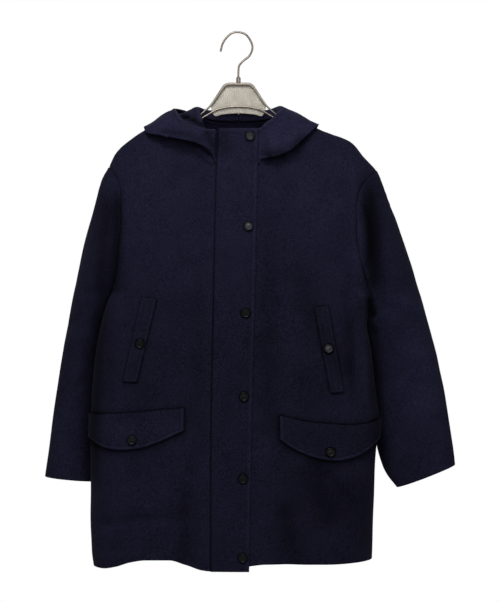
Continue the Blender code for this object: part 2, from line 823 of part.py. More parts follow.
collar_profile = (
    (COLLAR_RADIUS - COLLAR_CHAMFER, COLLAR_TOP),
    (COLLAR_RADIUS, COLLAR_TOP - COLLAR_CHAMFER),
    (COLLAR_RADIUS, STEM_END),
    (HOOK_WIRE + SEAM_GAP, STEM_END),
    (HOOK_WIRE + SEAM_GAP, COLLAR_TOP),
)
bm = bmesh.new()
ring = [bm.verts.new((x * MM, 0, z * MM)) for x, z in collar_profile]
for a, b in zip(ring, ring[1:] + ring[:1]):
    bm.edges.new((a, b))
collar = finish("hanger_collar", bm, chrome)
turn = collar.modifiers.new("turn", "SCREW")
turn.steps = ROUND_SIDES
turn.render_steps = ROUND_SIDES
turn.use_merge_vertices = True
turn.merge_threshold = WELD * MM

plate_curve = bpy.data.curves.new("hanger_plate", "CURVE")
plate_curve.dimensions = "2D"
plate_curve.fill_mode = "BOTH"
plate_curve.extrude = PLATE_THICKNESS / 2 * MM
outline = plate_curve.splines.new("POLY")
outline.points.add(len(PLATE_OUTLINE) - 1)
for point, (x, z) in zip(outline.points, PLATE_OUTLINE):
    point.co = (x * MM, z * MM, 0, 1)
outline.use_cyclic_u = True
plate_curve.materials.append(plastic)
plate = bpy.data.objects.new("hanger_plate", plate_curve)
plate.rotation_euler = (math.pi / 2, 0, 0)
plate.location = (0, (FRAME_WIRE + SEAM_GAP + PLATE_THICKNESS / 2) * MM, 0)
parka.objects.link(plate)
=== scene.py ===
"""A hooded, snap-fronted parka of navy wool melton, hanging on a wire hanger with a ribbed plate.

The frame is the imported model's: metres, +Z up, the front faces -Y, the origin under the top of the hook.
Tables and functions of the cloth are in millimetres. Right and left are the wearer's: the right has x < 0.
"""

import math
from collections import namedtuple

import bmesh
import bpy
import numpy as np
from mathutils import Matrix, Vector


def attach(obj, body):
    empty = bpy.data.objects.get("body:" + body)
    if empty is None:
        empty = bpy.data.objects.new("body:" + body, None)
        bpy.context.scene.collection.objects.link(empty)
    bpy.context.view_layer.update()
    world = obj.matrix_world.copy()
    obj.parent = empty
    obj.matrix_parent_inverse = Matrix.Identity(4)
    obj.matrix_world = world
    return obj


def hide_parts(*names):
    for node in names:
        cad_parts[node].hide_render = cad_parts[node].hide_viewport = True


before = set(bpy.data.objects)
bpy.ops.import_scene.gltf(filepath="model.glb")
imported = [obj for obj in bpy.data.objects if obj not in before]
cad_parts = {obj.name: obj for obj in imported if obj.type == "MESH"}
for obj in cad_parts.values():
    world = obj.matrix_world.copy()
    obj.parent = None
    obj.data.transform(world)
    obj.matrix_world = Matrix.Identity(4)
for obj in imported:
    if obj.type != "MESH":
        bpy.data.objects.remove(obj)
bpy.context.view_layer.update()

# The studio: a pale floor well below the hem, a surround that is white all round and dim above and below,
# a wide key light above in front, a small one at the neck, a fill from the viewer's right and a rear light.
# The camera looks square at the coat, at half its height.
CAMERA_PLACE = (0.022, -3.0, -0.509)
CAMERA_LENS = 94.4
FLOOR_PLACE = (0, 0, -1.75)
FLOOR_RADIUS = 2.4
FLOOR_SIDES = 96
SURROUND_WHITE = 1.0
SURROUND_DIM = 0.12
# How steep a direction is where the surround starts and ends fading, as a share of straight up or down.
FADE_START = 0.28
FADE_END = 0.48
LIGHTS = (
    # name, place, turn in degrees, width, height, watts
    ("key", (-0.25, -1.45, 1.25), (44, 0, -9), 1.3, 0.7, 88),
    ("neck", (-0.05, -0.9, -0.1), (80, 0, -3), 0.7, 0.3, 5.0),
    ("fill", (1.9, -2.2, 0.3), (72, 0, 42), 1.0, 1.4, 14),
    ("rear", (0.4, 2.4, 1.3), (-58, 0, 6), 2.0, 1.2, 46),
)


def linear(colour):
    """The linear values of an sRGB hex colour."""
    parts = [int(colour[i : i + 2], 16) / 255 for i in (1, 3, 5)]
    return tuple(c / 12.92 if c <= 0.04045 else ((c + 0.055) / 1.055) ** 2.4 for c in parts) + (1.0,)


def add_node(tree, kind, sockets=(), settings=()):
    """A shader node with its settings, and its sockets set to a value or linked to another's output."""
    made = tree.nodes.new("ShaderNode" + kind)
    for name, value in dict(settings).items():
        setattr(made, name, value)
    for name, value in dict(sockets).items():
        if isinstance(value, bpy.types.NodeSocket):
            tree.links.new(value, made.inputs[name])
        else:
            made.inputs[name].default_value = value
    return made


def new_material(name):
    material = bpy.data.materials.new(name)
    material.use_nodes = True
    material.node_tree.nodes.clear()
    return material, material.node_tree


def new_object(name, data):
    made = bpy.data.objects.new(name, data)
    bpy.context.scene.collection.objects.link(made)
    return made


def select_only(*pieces):
    """Selects these pieces and nothing else, with the first one active."""
    bpy.ops.object.select_all(action="DESELECT")
    for piece in pieces:
        piece.select_set(True)
    if pieces:
        bpy.context.view_layer.objects.active = pieces[0]


bpy.context.scene.view_settings.view_transform = "Standard"
world = bpy.data.worlds.new("surround")
world.use_nodes = True
tree = world.node_tree
tree.nodes.clear()
direction = add_node(tree, "TexCoord").outputs["Generated"]
height = add_node(tree, "SeparateXYZ", {0: direction}).outputs["Z"]
steepness = add_node(tree, "Math", {0: height}, {"operation": "ABSOLUTE"}).outputs[0]
faded = {
    "Value": steepness,
    "From Min": FADE_START,
    "From Max": FADE_END,
    "To Min": SURROUND_WHITE,
    "To Max": SURROUND_DIM,
}
strength = add_node(tree, "MapRange", faded, {"interpolation_type": "SMOOTHSTEP"}).outputs[0]
glow = add_node(tree, "Background", {"Color": (1.0, 1.0, 1.0, 1.0), "Strength": strength})
add_node(tree, "OutputWorld", {"Surface": glow.outputs[0]})
bpy.context.scene.world = world

camera = new_object("camera", bpy.data.cameras.new("camera"))
camera.location = CAMERA_PLACE
camera.rotation_euler = (math.pi / 2, 0, 0)
camera.data.lens = CAMERA_LENS
bpy.context.scene.camera = camera

for name, place, turn, width, height, watts in LIGHTS:
    light = new_object(name, bpy.data.lights.new(name, "AREA"))
    light.location = place
    light.rotation_euler = [math.radians(t) for t in turn]
    light.data.shape = "RECTANGLE"
    light.data.size = width
    light.data.size_y = height
    light.data.energy = watts

select_only()
round_floor = {"vertices": FLOOR_SIDES, "radius": FLOOR_RADIUS, "location": FLOOR_PLACE}
bpy.ops.mesh.primitive_circle_add(fill_type="NGON", **round_floor)
floor = bpy.context.object
floor.name = "floor"
paint, tree = new_material("matt_white_paint")
shader = add_node(tree, "BsdfPrincipled", {"Base Color": linear("#f2f2f0"), "Roughness": 0.9})
add_node(tree, "OutputMaterial", {"Surface": shader.outputs[0]})
floor.data.materials.append(paint)

# The wool melton: a thick navy wool cloth, fulled and brushed so that no weave shows. What shows is a matt
# face with a soft grain of darker and bluer tufts, fine fibres and a slow mottle. Each point is also
# painted darker or lighter, as painted shade in folds, seams, hollows and under parts and painted light on
# lit parts: 0 is the cloth as dyed, 1 is black, and less than nothing is painted lighter.
GRAIN_MM = 2.6
NAP_MM = 0.9
MOTTLE_MM = 45.0
MOTTLE = 0.18
GRAIN_HEIGHT = 1.4
FIBRE_HEIGHT = 0.0006
# Where in the grain each tone of the dye lies, and its colour.
DYE_TONES = ((0.32, "#05050e"), (0.69, "#12111e"))

wool, tree = new_material("navy_wool_melton")
place = add_node(tree, "TexCoord").outputs["Object"]
noises = []
for size, detail, roughness in ((GRAIN_MM, 3.0, 0.65), (NAP_MM, 2.0, 0.6), (MOTTLE_MM, 2.0, 0.5)):
    noise = {"Vector": place, "Scale": 1000 / size, "Detail": detail, "Roughness": roughness}
    noises.append(add_node(tree, "TexNoise", noise).outputs["Fac"])
grain, fibres, mottle = noises
blend = add_node(tree, "Math", {0: mottle, 1: MOTTLE, 2: -MOTTLE / 2}, {"operation": "MULTIPLY_ADD"})
total = add_node(tree, "Math", {0: grain, 1: blend.outputs[0]}, {"operation": "ADD"})
dyed = add_node(tree, "ValToRGB", {"Fac": total.outputs[0]})
for stop, (position, colour) in zip(dyed.color_ramp.elements, DYE_TONES):
    stop.position = position
    stop.color = linear(colour)
# The painted light and painted shade of each point, which the cloth pieces store on their meshes.
laid = add_node(tree, "Attribute", (), {"attribute_name": "nap"}).outputs["Fac"]
# How light the cloth is painted: 1 less its painted light and shade, which runs from -3 to 1.
inverse = {"Value": laid, "From Min": -3.0, "From Max": 1.0, "To Min": 4.0, "To Max": 0.0}
lightness = add_node(tree, "MapRange", inverse).outputs[0]
tone = add_node(tree, "VectorMath", {0: dyed.outputs["Color"], "Scale": lightness}, {"operation": "SCALE"})
height = add_node(tree, "Math", {0: grain, 1: GRAIN_HEIGHT, 2: fibres}, {"operation": "MULTIPLY_ADD"})
bump = add_node(tree, "Bump", {"Height": height.outputs[0], "Strength": 0.55, "Distance": FIBRE_HEIGHT})
brushed = {
    "Base Color": tone.outputs[0],
    "Normal": bump.outputs["Normal"],
    "Roughness": 0.95,
    "Specular IOR Level": 0.02,
    "Sheen Weight": 0.02,
    "Sheen Roughness": 0.45,
    "Sheen Tint": linear("#8c8a9a"),
}
shader = add_node(tree, "BsdfPrincipled", brushed)
add_node(tree, "OutputMaterial", {"Surface": shader.outputs[0]})

# The body: two fronts and a back, each a single wall of cloth that hangs from the wire and closes at the
# side seams. The tables give the hanging form; the creases are pressed in afterwards, each in its own size.
MM = 0.001
CLOTH = 2.6
SEAM_GAP = 0.3
LAYER = CLOTH + SEAM_GAP
SIDE_ROUND = 75.0
FRONT_TOP_ROUND = 110.0
BACK_TOP_ROUND = 70.0
ARMHOLE_DEPTH = 40.0
ARMHOLE_ROUND = 70.0
NECK_X = 80.0
LIFT_FADE = 70.0
LIFT_DEPTH = 30.0
UNDERLAP = -5.0
PLACKET_GAP = 0.9
# The mesh's steps down and across the cloth, its finer ones along an edge, and the lengths of a front
# below and above the underarm.
CLOTH_STEP = 3.6
EDGE_STEPS = (0, 0.4, 1.1, 2.2, 4.0)
BELOW_ARM = 505
ABOVE_ARM = 260
FAR = 1e3

# Half depth of the hanging body: height, front, back.
BODY_DEPTH = (
    (-1020, 64, 62), (-800, 58, 56), (-600, 56, 52), (-450, 55, 52), (-330, 52, 52), (-250, 47, 50),
    (-150, 45, 50),
)
# The snapped front strip: height, its seam on the right front, its free edge.
PLACKET = (
    (-1020, -51.5, 20.5), (-775, -51.5, 25.0), (-547, -47.5, 30.5), (-264, -41.5, 36.5),
    (-185, -37.5, 38.0),
)
# Side seam, then armhole: height, x.
RIGHT_EDGE = (
    (-1015, -273), (-982, -278), (-915, -280.5), (-846, -282), (-790, -282), (-707, -279), (-660, -276),
    (-608, -271), (-555, -261.5), (-515, -250), (-492, -240), (-463, -233), (-412, -227), (-365, -221.5),
    (-317, -221.5), (-289, -225), (-268, -236), (-255, -247),
)
LEFT_EDGE = (
    (-1000, 254), (-939, 255.5), (-874, 257), (-785, 263), (-737, 267), (-697, 263), (-661, 259),
    (-591, 251), (-555, 245), (-526, 247), (-498, 249), (-460, 238.5), (-386, 221.5), (-336, 221.5),
    (-300, 229), (-279, 243), (-262, 263),
)
# Shoulder seam along the top of the body: x, height.
RIGHT_RIDGE = (
    (-247, -255), (-234, -229), (-210, -207), (-177, -184.5), (-140, -170), (-110, -161), (-80, -154),
    (0, -147),
)
LEFT_RIDGE = (
    (0, -147), (80, -153), (120, -168), (163, -186), (208, -205), (223, -216.6), (238.5, -235),
    (253.6, -251), (263, -262),
)
# Neck seam: x, height.
RIGHT_NECK = ((-80, -154), (-71, -176), (-62, -202), (-52, -234), (-41.3, -255))
LEFT_NECK = ((-31, -256), (5, -256), (37, -254), (50, -236), (61, -207), (71, -178), (80, -153))
BACK_NECK = ((-80, -154), (-55, -162), (-28, -165), (0, -166), (28, -165), (55, -162), (80, -153))
# Hem: x, height.
HEM = (
    (-282, -1010), (-257, -1010), (-228, -1005), (-198, -996), (-168, -992), (-123, -992), (-94, -1001),
    (-64, -1010), (-45, -1012), (25, -1003), (55, -1000), (160, -1000), (220, -998), (250, -997),
    (267, -997),
)
BACK_HEM = ((-282, -1010), (-257, -1010), (-150, -1003), (0, -1000), (150, -1001), (250, -997), (267, -997))

Side = namedtuple("Side", "name sign edge ridge neck underarm tip")
RIGHT = Side("right", -1, RIGHT_EDGE, RIGHT_RIDGE, RIGHT_NECK, -492, -255)
LEFT = Side("left", 1, LEFT_EDGE, LEFT_RIDGE, LEFT_NECK, -526, -262)

# Broad folds of the hanging form: start x, start z, end x, end z, half width, depth inwards.
FRONT_FOLDS = (
    (-88, -835, -90, -1000, 17, 7), (-250, -930, -103, -912, 16, 4),
    (165, -842, 222, -905, 18, 5), (88, -915, 92, -1000, 20, 5),
    (205, -505, 208, -640, 14, 5), (-214, -450, -222, -520, 16, 5),
    (-120, -300, -75, -262, 12, 3),
)
BACK_FOLDS = (
    (-95, -560, -120, -1000, 24, 6), (105, -600, 96, -1000, 22, 6),
    (-190, -420, -150, -600, 22, 5), (195, -440, 160, -640, 24, 5),
)

# Creases on top of the form, for each face: start x and z, end x and z, how far the middle bows to the
# right of the way it runs, half width, depth inwards (less than nothing is a ridge).
BODY_CREASES = {
    "front": (
        (-96, -212, -43, -238, 3, 4.5, 3.2), (-84, -234, -44, -256, 3, 5.0, 2.4),
        (-80, -225, -43, -247, 0, 4.0, -1.6), (42, -258, 66, -250, -2, 4.5, 2.0),
        (-246, -984, -180, -972, 6, 9, -1.4), (-262, -936, -104, -924, -12, 10, 1.8),
        (-270, -880, -120, -872, -10, 16, -1.8), (-70, -820, -66, -1010, 0, 10, -1.6),
        (-112, -860, -118, -1005, 4, 12, -1.6), (150, -820, 226, -938, -6, 11, 2.6),
        (120, -830, 196, -930, -6, 13, -1.6), (60, -880, 104, -960, 8, 14, 2.2),
        (204, -560, 240, -700, 6, 14, 1.8), (210, -470, 211, -650, 4, 9, 2.6),
        (240, -480, 236, -620, 4, 7, -2.0), (190, -430, 246, -500, -8, 10, 2.0),
        (60, -330, 180, -520, -14, 26, 1.2), (212, -260, 222, -470, -4, 9, -2.4),
        (212, -520, 214, -690, 0, 9, 2.4), (214, -330, 222, -440, 0, 9, -1.4),
        (-226, -420, -210, -520, 4, 9, 2.0), (-200, -400, -222, -490, 6, 9, -1.2),
        (-150, -300, -60, -420, 10, 22, 1.0), (-246, -620, -252, -700, 0, 12, 1.6),
        (-100, -650, -70, -800, 6, 20, 1.1), (60, -560, 110, -700, 8, 24, 1.2),
    ),
    "back": (
        (-160, -330, -60, -520, 16, 16, 2.0), (150, -340, 70, -540, -14, 15, 2.0),
        (-196, -470, -170, -640, 8, 12, 2.4), (206, -500, 176, -660, -8, 12, 2.4),
        (-60, -700, -84, -1000, 6, 16, -2.0), (60, -690, 74, -1000, -4, 15, -2.0),
        (-210, -800, -226, -1000, 4, 14, 2.0), (206, -780, 214, -990, -4, 14, 2.0),
        (-10, -760, 4, -1000, 6, 18, 1.8), (-90, -252, 90, -250, -10, 14, 1.6),
    ),
}
# Painted shade and painted light laid over the faces, for the shade in folds, hollows and armpits and the
# light on ridges and lit parts, as a share darker (less than nothing is lighter), as above.
PAINTED_SHADE_LINES = {
    "front": (
        (62, -330, 60, -760, 6, 24, 0.26), (106, -420, 200, -650, 12, 24, 0.24),
        (90, -640, 190, -700, -6, 26, 0.12), (120, -810, 176, -930, -8, 30, 0.34),
        (84, -880, 112, -1010, 6, 24, 0.26), (200, -840, 250, -960, 0, 30, 0.16),
        (-96, -850, -98, -1010, 0, 13, 0.30), (-70, -430, -72, -780, 4, 16, 0.16),
        (-250, -884, -130, -872, 0, 20, -0.18), (-232, -300, -120, -300, 14, 60, -0.12),
        (110, -290, 200, -320, 10, 55, -0.12), (214, -240, 224, -470, -4, 9, -0.22),
        (238, -290, 248, -490, -8, 14, 0.50), (233, -320, 240, -450, -6, 9, 0.42),
        (250, -276, 262, -510, -8, 15, 0.42), (244, -502, 256, -540, 0, 9, 0.95),
        (224, -488, 241, -530, -5, 5.5, -0.40), (246, -540, 262, -570, 2, 7, 0.55),
        (212, -530, 212, -690, 0, 9, 0.36), (238, -540, 238, -700, 0, 7, -0.22),
        (-150, -194, -60, -214, -6, 8, 0.62), (-62, -190, -44, -226, 0, 9, 0.85),
        (-30, -184, -27, -236, 0, 15, 0.30), (-90, -210, -44, -236, 0, 4.5, 0.55),
        (-76, -224, -43, -246, 0, 3.2, -0.50), (-78, -236, -44, -257, 0, 4, 0.32),
        (44, -238, 92, -232, 0, 11, 0.80), (94, -226, 130, -198, 0, 9, 0.60),
        (-227, -296, -236, -490, -5, 11, 0.62), (-262, -500, -274, -860, 0, 16, 0.58),
        (-288, -580, -294, -850, 0, 12, 0.28), (-244, -310, -262, -500, 0, 17, 0.52),
        (330, -480, 366, -740, 0, 44, -0.48), (396, -740, 372, -840, 0, 34, -0.16),
        (-340, -700, -330, -850, 0, 30, -0.14), (-240, -610, 250, -610, 0, 150, 0.14),
        (70, -900, 260, -900, 0, 130, 0.18), (90, -760, 262, -765, 8, 26, 0.12),
        (-270, -750, -110, -745, 8, 24, -0.12), (256, -560, 270, -860, 0, 16, 0.50),
        (-200, -620, -150, -700, 6, 30, 0.12), (-240, -560, -236, -700, 0, 14, 0.14),
    ),
    "back": (
        (-95, -560, -120, -1000, 4, 20, 0.22), (105, -600, 96, -1000, -4, 20, 0.22),
        (-70, -300, 60, -330, 20, 40, 0.12), (-262, -500, -274, -860, 0, 16, 0.22),
        (256, -540, 270, -860, 0, 16, 0.22),
    ),
}
# A crease or shade fades in over a quarter of its length, from a tenth before its start, and out likewise.
# It lies only where the cloth faces its way.
LINE_FADE = 4.0
LINE_START = 0.4
LINE_FACING = 2.2
# Slow waves that keep the cloth from hanging too evenly: length across, length down, start, height. The
# front's and the back's are shifted by this share of a wave, each its own way.
WAVE_SHIFT = 0.15
WAVES = (
    (140, 310, 0.4, 0.55), (96, -420, 2.1, 0.40), (61, 180, 4.0, 0.28), (-83, 120, 1.2, 0.30),
    (37, -95, 5.1, 0.13),
)
# How far a seam is sunk, and how wide. Painted shade and painted light along a line: how much darker (less
# than nothing is lighter) and half width. The seams get painted shade, and the inside of the cloth is
# painted darker all over, as painted shade, but for painted light in the neck of the back.
SEAM_DIP = 0.8
SEAM_WIDTH = 5.0
SEAM_SHADES = ((0.6, 1.6), (0.14, 6.0))
INSIDE_SHADE = 0.3
NECK_LIGHT = 0.7
NECK_LIGHT_Z = -180.0
NECK_LIGHT_ACROSS = 90.0
NECK_LIGHT_DOWN = 60.0


def read(table, keys):
    """The table's values at keys between its rows, on a smooth curve that never overshoots them."""
    rows = np.array(table, float)
    places, values = rows[:, 0], rows[:, 1:]
    keys = np.clip(np.asarray(keys, float), places[0], places[-1])
    low = np.clip(np.searchsorted(places, keys, side="right") - 1, 0, len(places) - 2)
    chords = np.diff(values, axis=0) / np.diff(places)[:, None]
    before, after = chords[:-1], chords[1:]
    both = np.where(np.abs(before + after) < 1e-12, 1.0, before + after)
    inner = np.where(before * after > 0, 2 * before * after / both, 0.0)
    slopes = np.concatenate([chords[:1], inner, chords[-1:]])
    span = (places[low + 1] - places[low])[..., None]
    t = (keys - places[low])[..., None] / span
    start = (2 * t**3 - 3 * t**2 + 1) * values[low] + (t**3 - 2 * t**2 + t) * span * slopes[low]
    end = (3 * t**2 - 2 * t**3) * values[low + 1] + (t**3 - t**2) * span * slopes[low + 1]
    return start + end


def quarter(t):
    """A quarter circle's height over its run, both 0 to 1."""
    t = np.clip(t, 0.0, 1.0)
    return np.sqrt(t * (2 - t))


def fade(t):
    t = np.clip(t, 0.0, 1.0)
    return t * t * (3 - 2 * t)


def bell(distance, width):
    """1 on a line, and less and less with the distance from it."""
    return np.exp(-((distance / width) ** 2))


def line_shade(distance, shade):
    most, width = shade
    return most * bell(distance, width)


def from_segment(x, z, x0, z0, x1, z1):
    """Each place's distance from the nearest point of a straight line between two others."""
    run = (x1 - x0) ** 2 + (z1 - z0) ** 2
    along = np.clip(((x - x0) * (x1 - x0) + (z - z0) * (z1 - z0)) / run, 0, 1)
    return np.hypot(x - x0 - along * (x1 - x0), z - z0 - along * (z1 - z0))


def fold_depth(folds, x, z):
    total = np.zeros(np.broadcast(x, z).shape)
    for *ends, width, depth in folds:
        total += depth * bell(from_segment(x, z, *ends), width)
    return total


def half_depth(side, x, z, back):
    """Distance of the hanging cloth's outer face from the mid plane."""
    depths = read(BODY_DEPTH, z)
    full = depths[..., 1] if back else depths[..., 0]
    opening = ARMHOLE_DEPTH * quarter((z - side.underarm) / ARMHOLE_ROUND)
    rounded = quarter(side.sign * (read(side.edge, z)[..., 0] - x) / SIDE_ROUND)
    spread = (1 - rounded**2) * (1 - (opening / full) ** 2)
    top_round = BACK_TOP_ROUND if back else FRONT_TOP_ROUND
    depth = full * np.sqrt(1 - spread) * quarter((read(side.ridge, x)[..., 0] - z) / top_round)
    depth = depth - fold_depth(BACK_FOLDS if back else FRONT_FOLDS, x, z) * rounded
    if side is RIGHT and not back:
        lift = 1 - fade((read(PLACKET, z)[..., 0] - x) / LIFT_FADE)
        depth = depth + LAYER * lift * np.minimum(1.0, depth / LIFT_DEPTH)
    return np.maximum(depth, 0.0)


def centre_x(side, z, back):
    if back:
        return np.zeros(np.shape(z))
    seam = read(PLACKET, z)[..., 0]
    return seam - PLACKET_GAP if side is RIGHT else seam + UNDERLAP


def top_z(side, x, back):
    neck = read(BACK_NECK if back else side.neck, x)[..., 0]
    return np.where(np.abs(x) >= NECK_X - 1e-6, read(side.ridge, x)[..., 0], neck)


def body_points(side, across, level, back):
    """Points of a body panel. across runs from the centre to the edge, and level from 0 at the hem through
    1 at the underarm to 2 at the shoulder."""
    across, level = np.broadcast_arrays(np.asarray(across, float), np.asarray(level, float))
    middle = centre_x(side, side.underarm, back)
    hem_x = middle + (read(side.edge, HEM[0][1])[..., 0] - middle) * across
    hem = read(BACK_HEM if back else HEM, hem_x)[..., 0]
    over = np.maximum(level - 1, 0)
    upper_z = side.underarm + (side.tip - side.underarm) * over
    z = np.where(level <= 1, hem + (side.underarm - hem) * level, upper_z)
    centre = centre_x(side, z, back)
    x = centre + (read(side.edge, z)[..., 0] - centre) * across
    tip_centre = centre_x(side, side.tip, back)
    top_x = tip_centre + (read(side.edge, side.tip)[..., 0] - tip_centre) * across
    z = z + (top_z(side, top_x, back) - side.tip) * over**2
    y = half_depth(side, x, z, back)
    return np.stack([x, y if back else -y, z], axis=-1)


def stepped(start, end, step, length, crowd=(True, True)):
    """Values from start to end, a step of length apart, crowded towards ends that are sewn or turned."""
    count = max(2, round(length / step))
    places = list(np.linspace(0, length, count + 1))
    fine = [p for p in EDGE_STEPS if p < length / 4]
    if crowd[0]:
        places = fine + [p for p in places if p > fine[-1] + step / 2]
    if crowd[1]:
        places = [p for p in places if p < length - fine[-1] - step / 2]
        places += [length - p for p in reversed(fine)]
    return start + (end - start) * np.array(places) / length


def unit(vectors):
    return vectors / np.maximum(np.linalg.norm(vectors, axis=-1, keepdims=True), 1e-9)


def grid_normals(grid, outward, ring=False):
    """Normals of a grid's points. outward is 1 where rows x columns turns outwards, else -1."""
    down = np.gradient(grid, axis=0)
    across = np.roll(grid, -1, axis=1) - np.roll(grid, 1, axis=1) if ring else np.gradient(grid, axis=1)
    return outward * unit(np.cross(across, down))


def lines_total(grid, normals, lines):
    """The sum, at each of a grid's points, of soft lines laid over the garment's faces."""
    x, z = grid[..., 0], grid[..., 2]
    total = np.zeros(x.shape)
    for face, rows in lines.items():
        turned = normals[..., 1] if face == "back" else -normals[..., 1]
        facing = np.clip(turned * LINE_FACING, 0, 1)
        for x0, z0, x1, z1, bow, width, depth in rows:
            length = math.hypot(x1 - x0, z1 - z0)
            ux, uz = (x1 - x0) / length, (z1 - z0) / length
            along = ((x - x0) * ux + (z - z0) * uz) / length
            middle = bow * 4 * np.clip(along, 0, 1) * (1 - np.clip(along, 0, 1))
            away = (x - x0) * uz - (z - z0) * ux - middle
            taper = fade(along * LINE_FADE + LINE_START) * fade((1 - along) * LINE_FADE + LINE_START)
            total += depth * bell(away, width) * taper * facing
    return total


def pressed(grid, normals, creases):
    """The grid with creases and waves pressed into it, along its normals."""
    x, y, z = grid[..., 0], grid[..., 1], grid[..., 2]
    total = lines_total(grid, normals, creases)
    for across, down, start, height in WAVES:
        total += height * np.sin(2 * math.pi * (x / across + z / down + np.sign(y) * WAVE_SHIFT) + start)
    return grid - normals * total[..., None]


def edge_distances(grid, ends):
    """Each point's distance along the cloth from the nearest of the named edges: r0, r1, c0, c1."""
    nearest = np.full(grid.shape[:2], FAR)
    for end in ends:
        axis = "rc".index(end[0])
        flip = axis if end[1] == "1" else ()
        steps = np.flip(np.linalg.norm(np.diff(grid, axis=axis), axis=-1), flip)
        run = np.cumsum(np.insert(steps, 0, 0.0, axis=axis), axis=axis)
        nearest = np.minimum(nearest, np.flip(run, flip))
    return nearest


def join_frame(piece, material, node=None):
    """Gives a piece its material and its body, and hides the solid that it stands for."""
    piece.data.materials.append(material)
    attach(piece, "root")
    if node:
        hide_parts(node)


def cloth_piece(
    name, grid, outward, thick=CLOTH, seams=(), shade=0.0, inside=INSIDE_SHADE, ring=False
):
    """A wall of cloth whose outer face is the grid, rolled round at its edges, as one closed mesh."""
    normals = grid_normals(grid, outward, ring)
    edges = {"r0": np.s_[0], "r1": np.s_[-1], "c0": np.s_[:, 0], "c1": np.s_[:, -1]}
    ends = ("r0", "r1") if ring else tuple(edges)
    half = thick / 2
    near = np.minimum(edge_distances(grid, ends), half)
    drop = half - np.sqrt(np.maximum(half**2 - (half - near) ** 2, 0))
    sewn = edge_distances(grid, seams)
    dip = SEAM_DIP * bell(sewn, SEAM_WIDTH)
    outer = grid - normals * (drop + dip)[..., None]
    inner = grid - normals * (thick - drop + dip)[..., None]
    count = grid.shape[0] * grid.shape[1]
    index = np.arange(count).reshape(grid.shape[:2])
    under = index + count
    for end in ends:
        under[edges[end]] = index[edges[end]]
    quads = []
    for layer, turned in ((index, outward < 0), (under, outward > 0)):
        near_c, next_c = (layer, np.roll(layer, -1, axis=1)) if ring else (layer[:, :-1], layer[:, 1:])
        corners = np.stack([near_c[:-1], next_c[:-1], next_c[1:], near_c[1:]], axis=-1).reshape(-1, 4)
        quads.append(corners[:, ::-1] if turned else corners)
    points = np.concatenate([outer.reshape(-1, 3), inner.reshape(-1, 3)]) * MM
    mesh = bpy.data.meshes.new(name)
    mesh.from_pydata(points.tolist(), [], np.concatenate(quads).tolist())
    # Painted shade and painted light: the piece's own, the lines laid over the faces and painted shade
    # along the seams; the inner face gets painted shade of its own.
    painted_shade_per_point = shade + lines_total(grid, normals, PAINTED_SHADE_LINES)
    painted_shade_per_point += sum(line_shade(sewn, seam) for seam in SEAM_SHADES)
    painted_shade_per_point = np.concatenate([painted_shade_per_point.ravel(), np.ravel(inside + np.zeros(grid.shape[:2]))])
    nap = mesh.attributes.new("nap", "FLOAT", "POINT")
    nap.data.foreach_set("value", painted_shade_per_point.astype(np.float32))
    piece = new_object(name, mesh)
    shape = bmesh.new()
    shape.from_mesh(mesh)
    loose = [v for v in shape.verts if not v.link_faces]
    bmesh.ops.delete(shape, geom=loose, context="VERTS")
    shape.to_mesh(mesh)
    shape.free()
    mesh.shade_smooth()
    join_frame(piece, wool, name.replace("wool_", ""))


def body_panel(side, back):
    """A front or a half of the back, with one column at the neck point."""
    centre = float(centre_x(side, side.tip, back))
    tip = float(read(side.edge, side.tip)[0])
    neck = (side.sign * NECK_X - centre) / (tip - centre)
    width = abs(tip - centre)
    inner = stepped(0, neck, CLOTH_STEP, width * neck, (not back, False))
    outer = stepped(neck, 1, CLOTH_STEP, width * (1 - neck), (False, True))
    below = stepped(0, 1, CLOTH_STEP, BELOW_ARM, (True, False))
    above = stepped(1, 2, CLOTH_STEP, ABOVE_ARM, (False, True))
    across, level = np.concatenate([inner, outer[1:]]), np.concatenate([below, above[1:]])
    return body_points(side, across[None, :], level[:, None], back)


# The pockets' pieces, which are laid on the fronts further down.
# Upper inner, upper outer, lower inner and lower outer corners of each welt: x, z.
WELTS = {
    "right": ((-151.7, -506), (-179.9, -501.3), (-188.4, -660.7), (-214.7, -660)),
    "left": ((141.3, -520.4), (168, -518), (172.2, -681), (197.2, -679)),
}
# Each flap: x, top z, bottom z.
FLAPS = {
    "right": (
        (-282, -721, -766), (-265, -721, -776), (-245, -720, -784), (-215, -718.5, -787),
        (-185, -716, -784), (-150, -712.5, -773), (-125, -710, -762), (-101, -708.5, -751),
    ),
    "left": (
        (77.5, -722, -767), (100, -728, -783), (130, -734, -797), (160, -737, -805), (185, -739, -807),
        (215, -740.5, -801), (240, -738, -789), (267, -730, -767),
    ),
}
# The front is painted darker along their outlines, as painted shade, and gets the flaps' painted shadow,
# which is cast this far below them.
CONTACT_SHADE = (0.5, 2.1)
CAST_SHADE = (0.36, 9.0)
CAST_DROP = 5.0


def outline_distance(x, z, outline):
    sides = zip(outline, (*outline[1:], outline[0]))
    return np.minimum.reduce([from_segment(x, z, *start, *end) for start, end in sides])


def outline_shade(side, grid):
    """The painted shade round a front's welt and flap, and the flap's painted shadow below it."""
    x, z = grid[..., 0], grid[..., 2]
    upper_inner, upper_outer, lower_inner, lower_outer = WELTS[side.name]
    top = [(x, z) for x, z, _ in FLAPS[side.name]]
    bottom = [(x, z) for x, _, z in FLAPS[side.name]]
    flap = (*top, *bottom[::-1])
    welt = outline_distance(x, z, (upper_inner, upper_outer, lower_outer, lower_inner))
    near = np.minimum(welt, outline_distance(x, z, flap))
    below = outline_distance(x, z + CAST_DROP, flap)
    return line_shade(near, CONTACT_SHADE) + line_shade(below, CAST_SHADE)


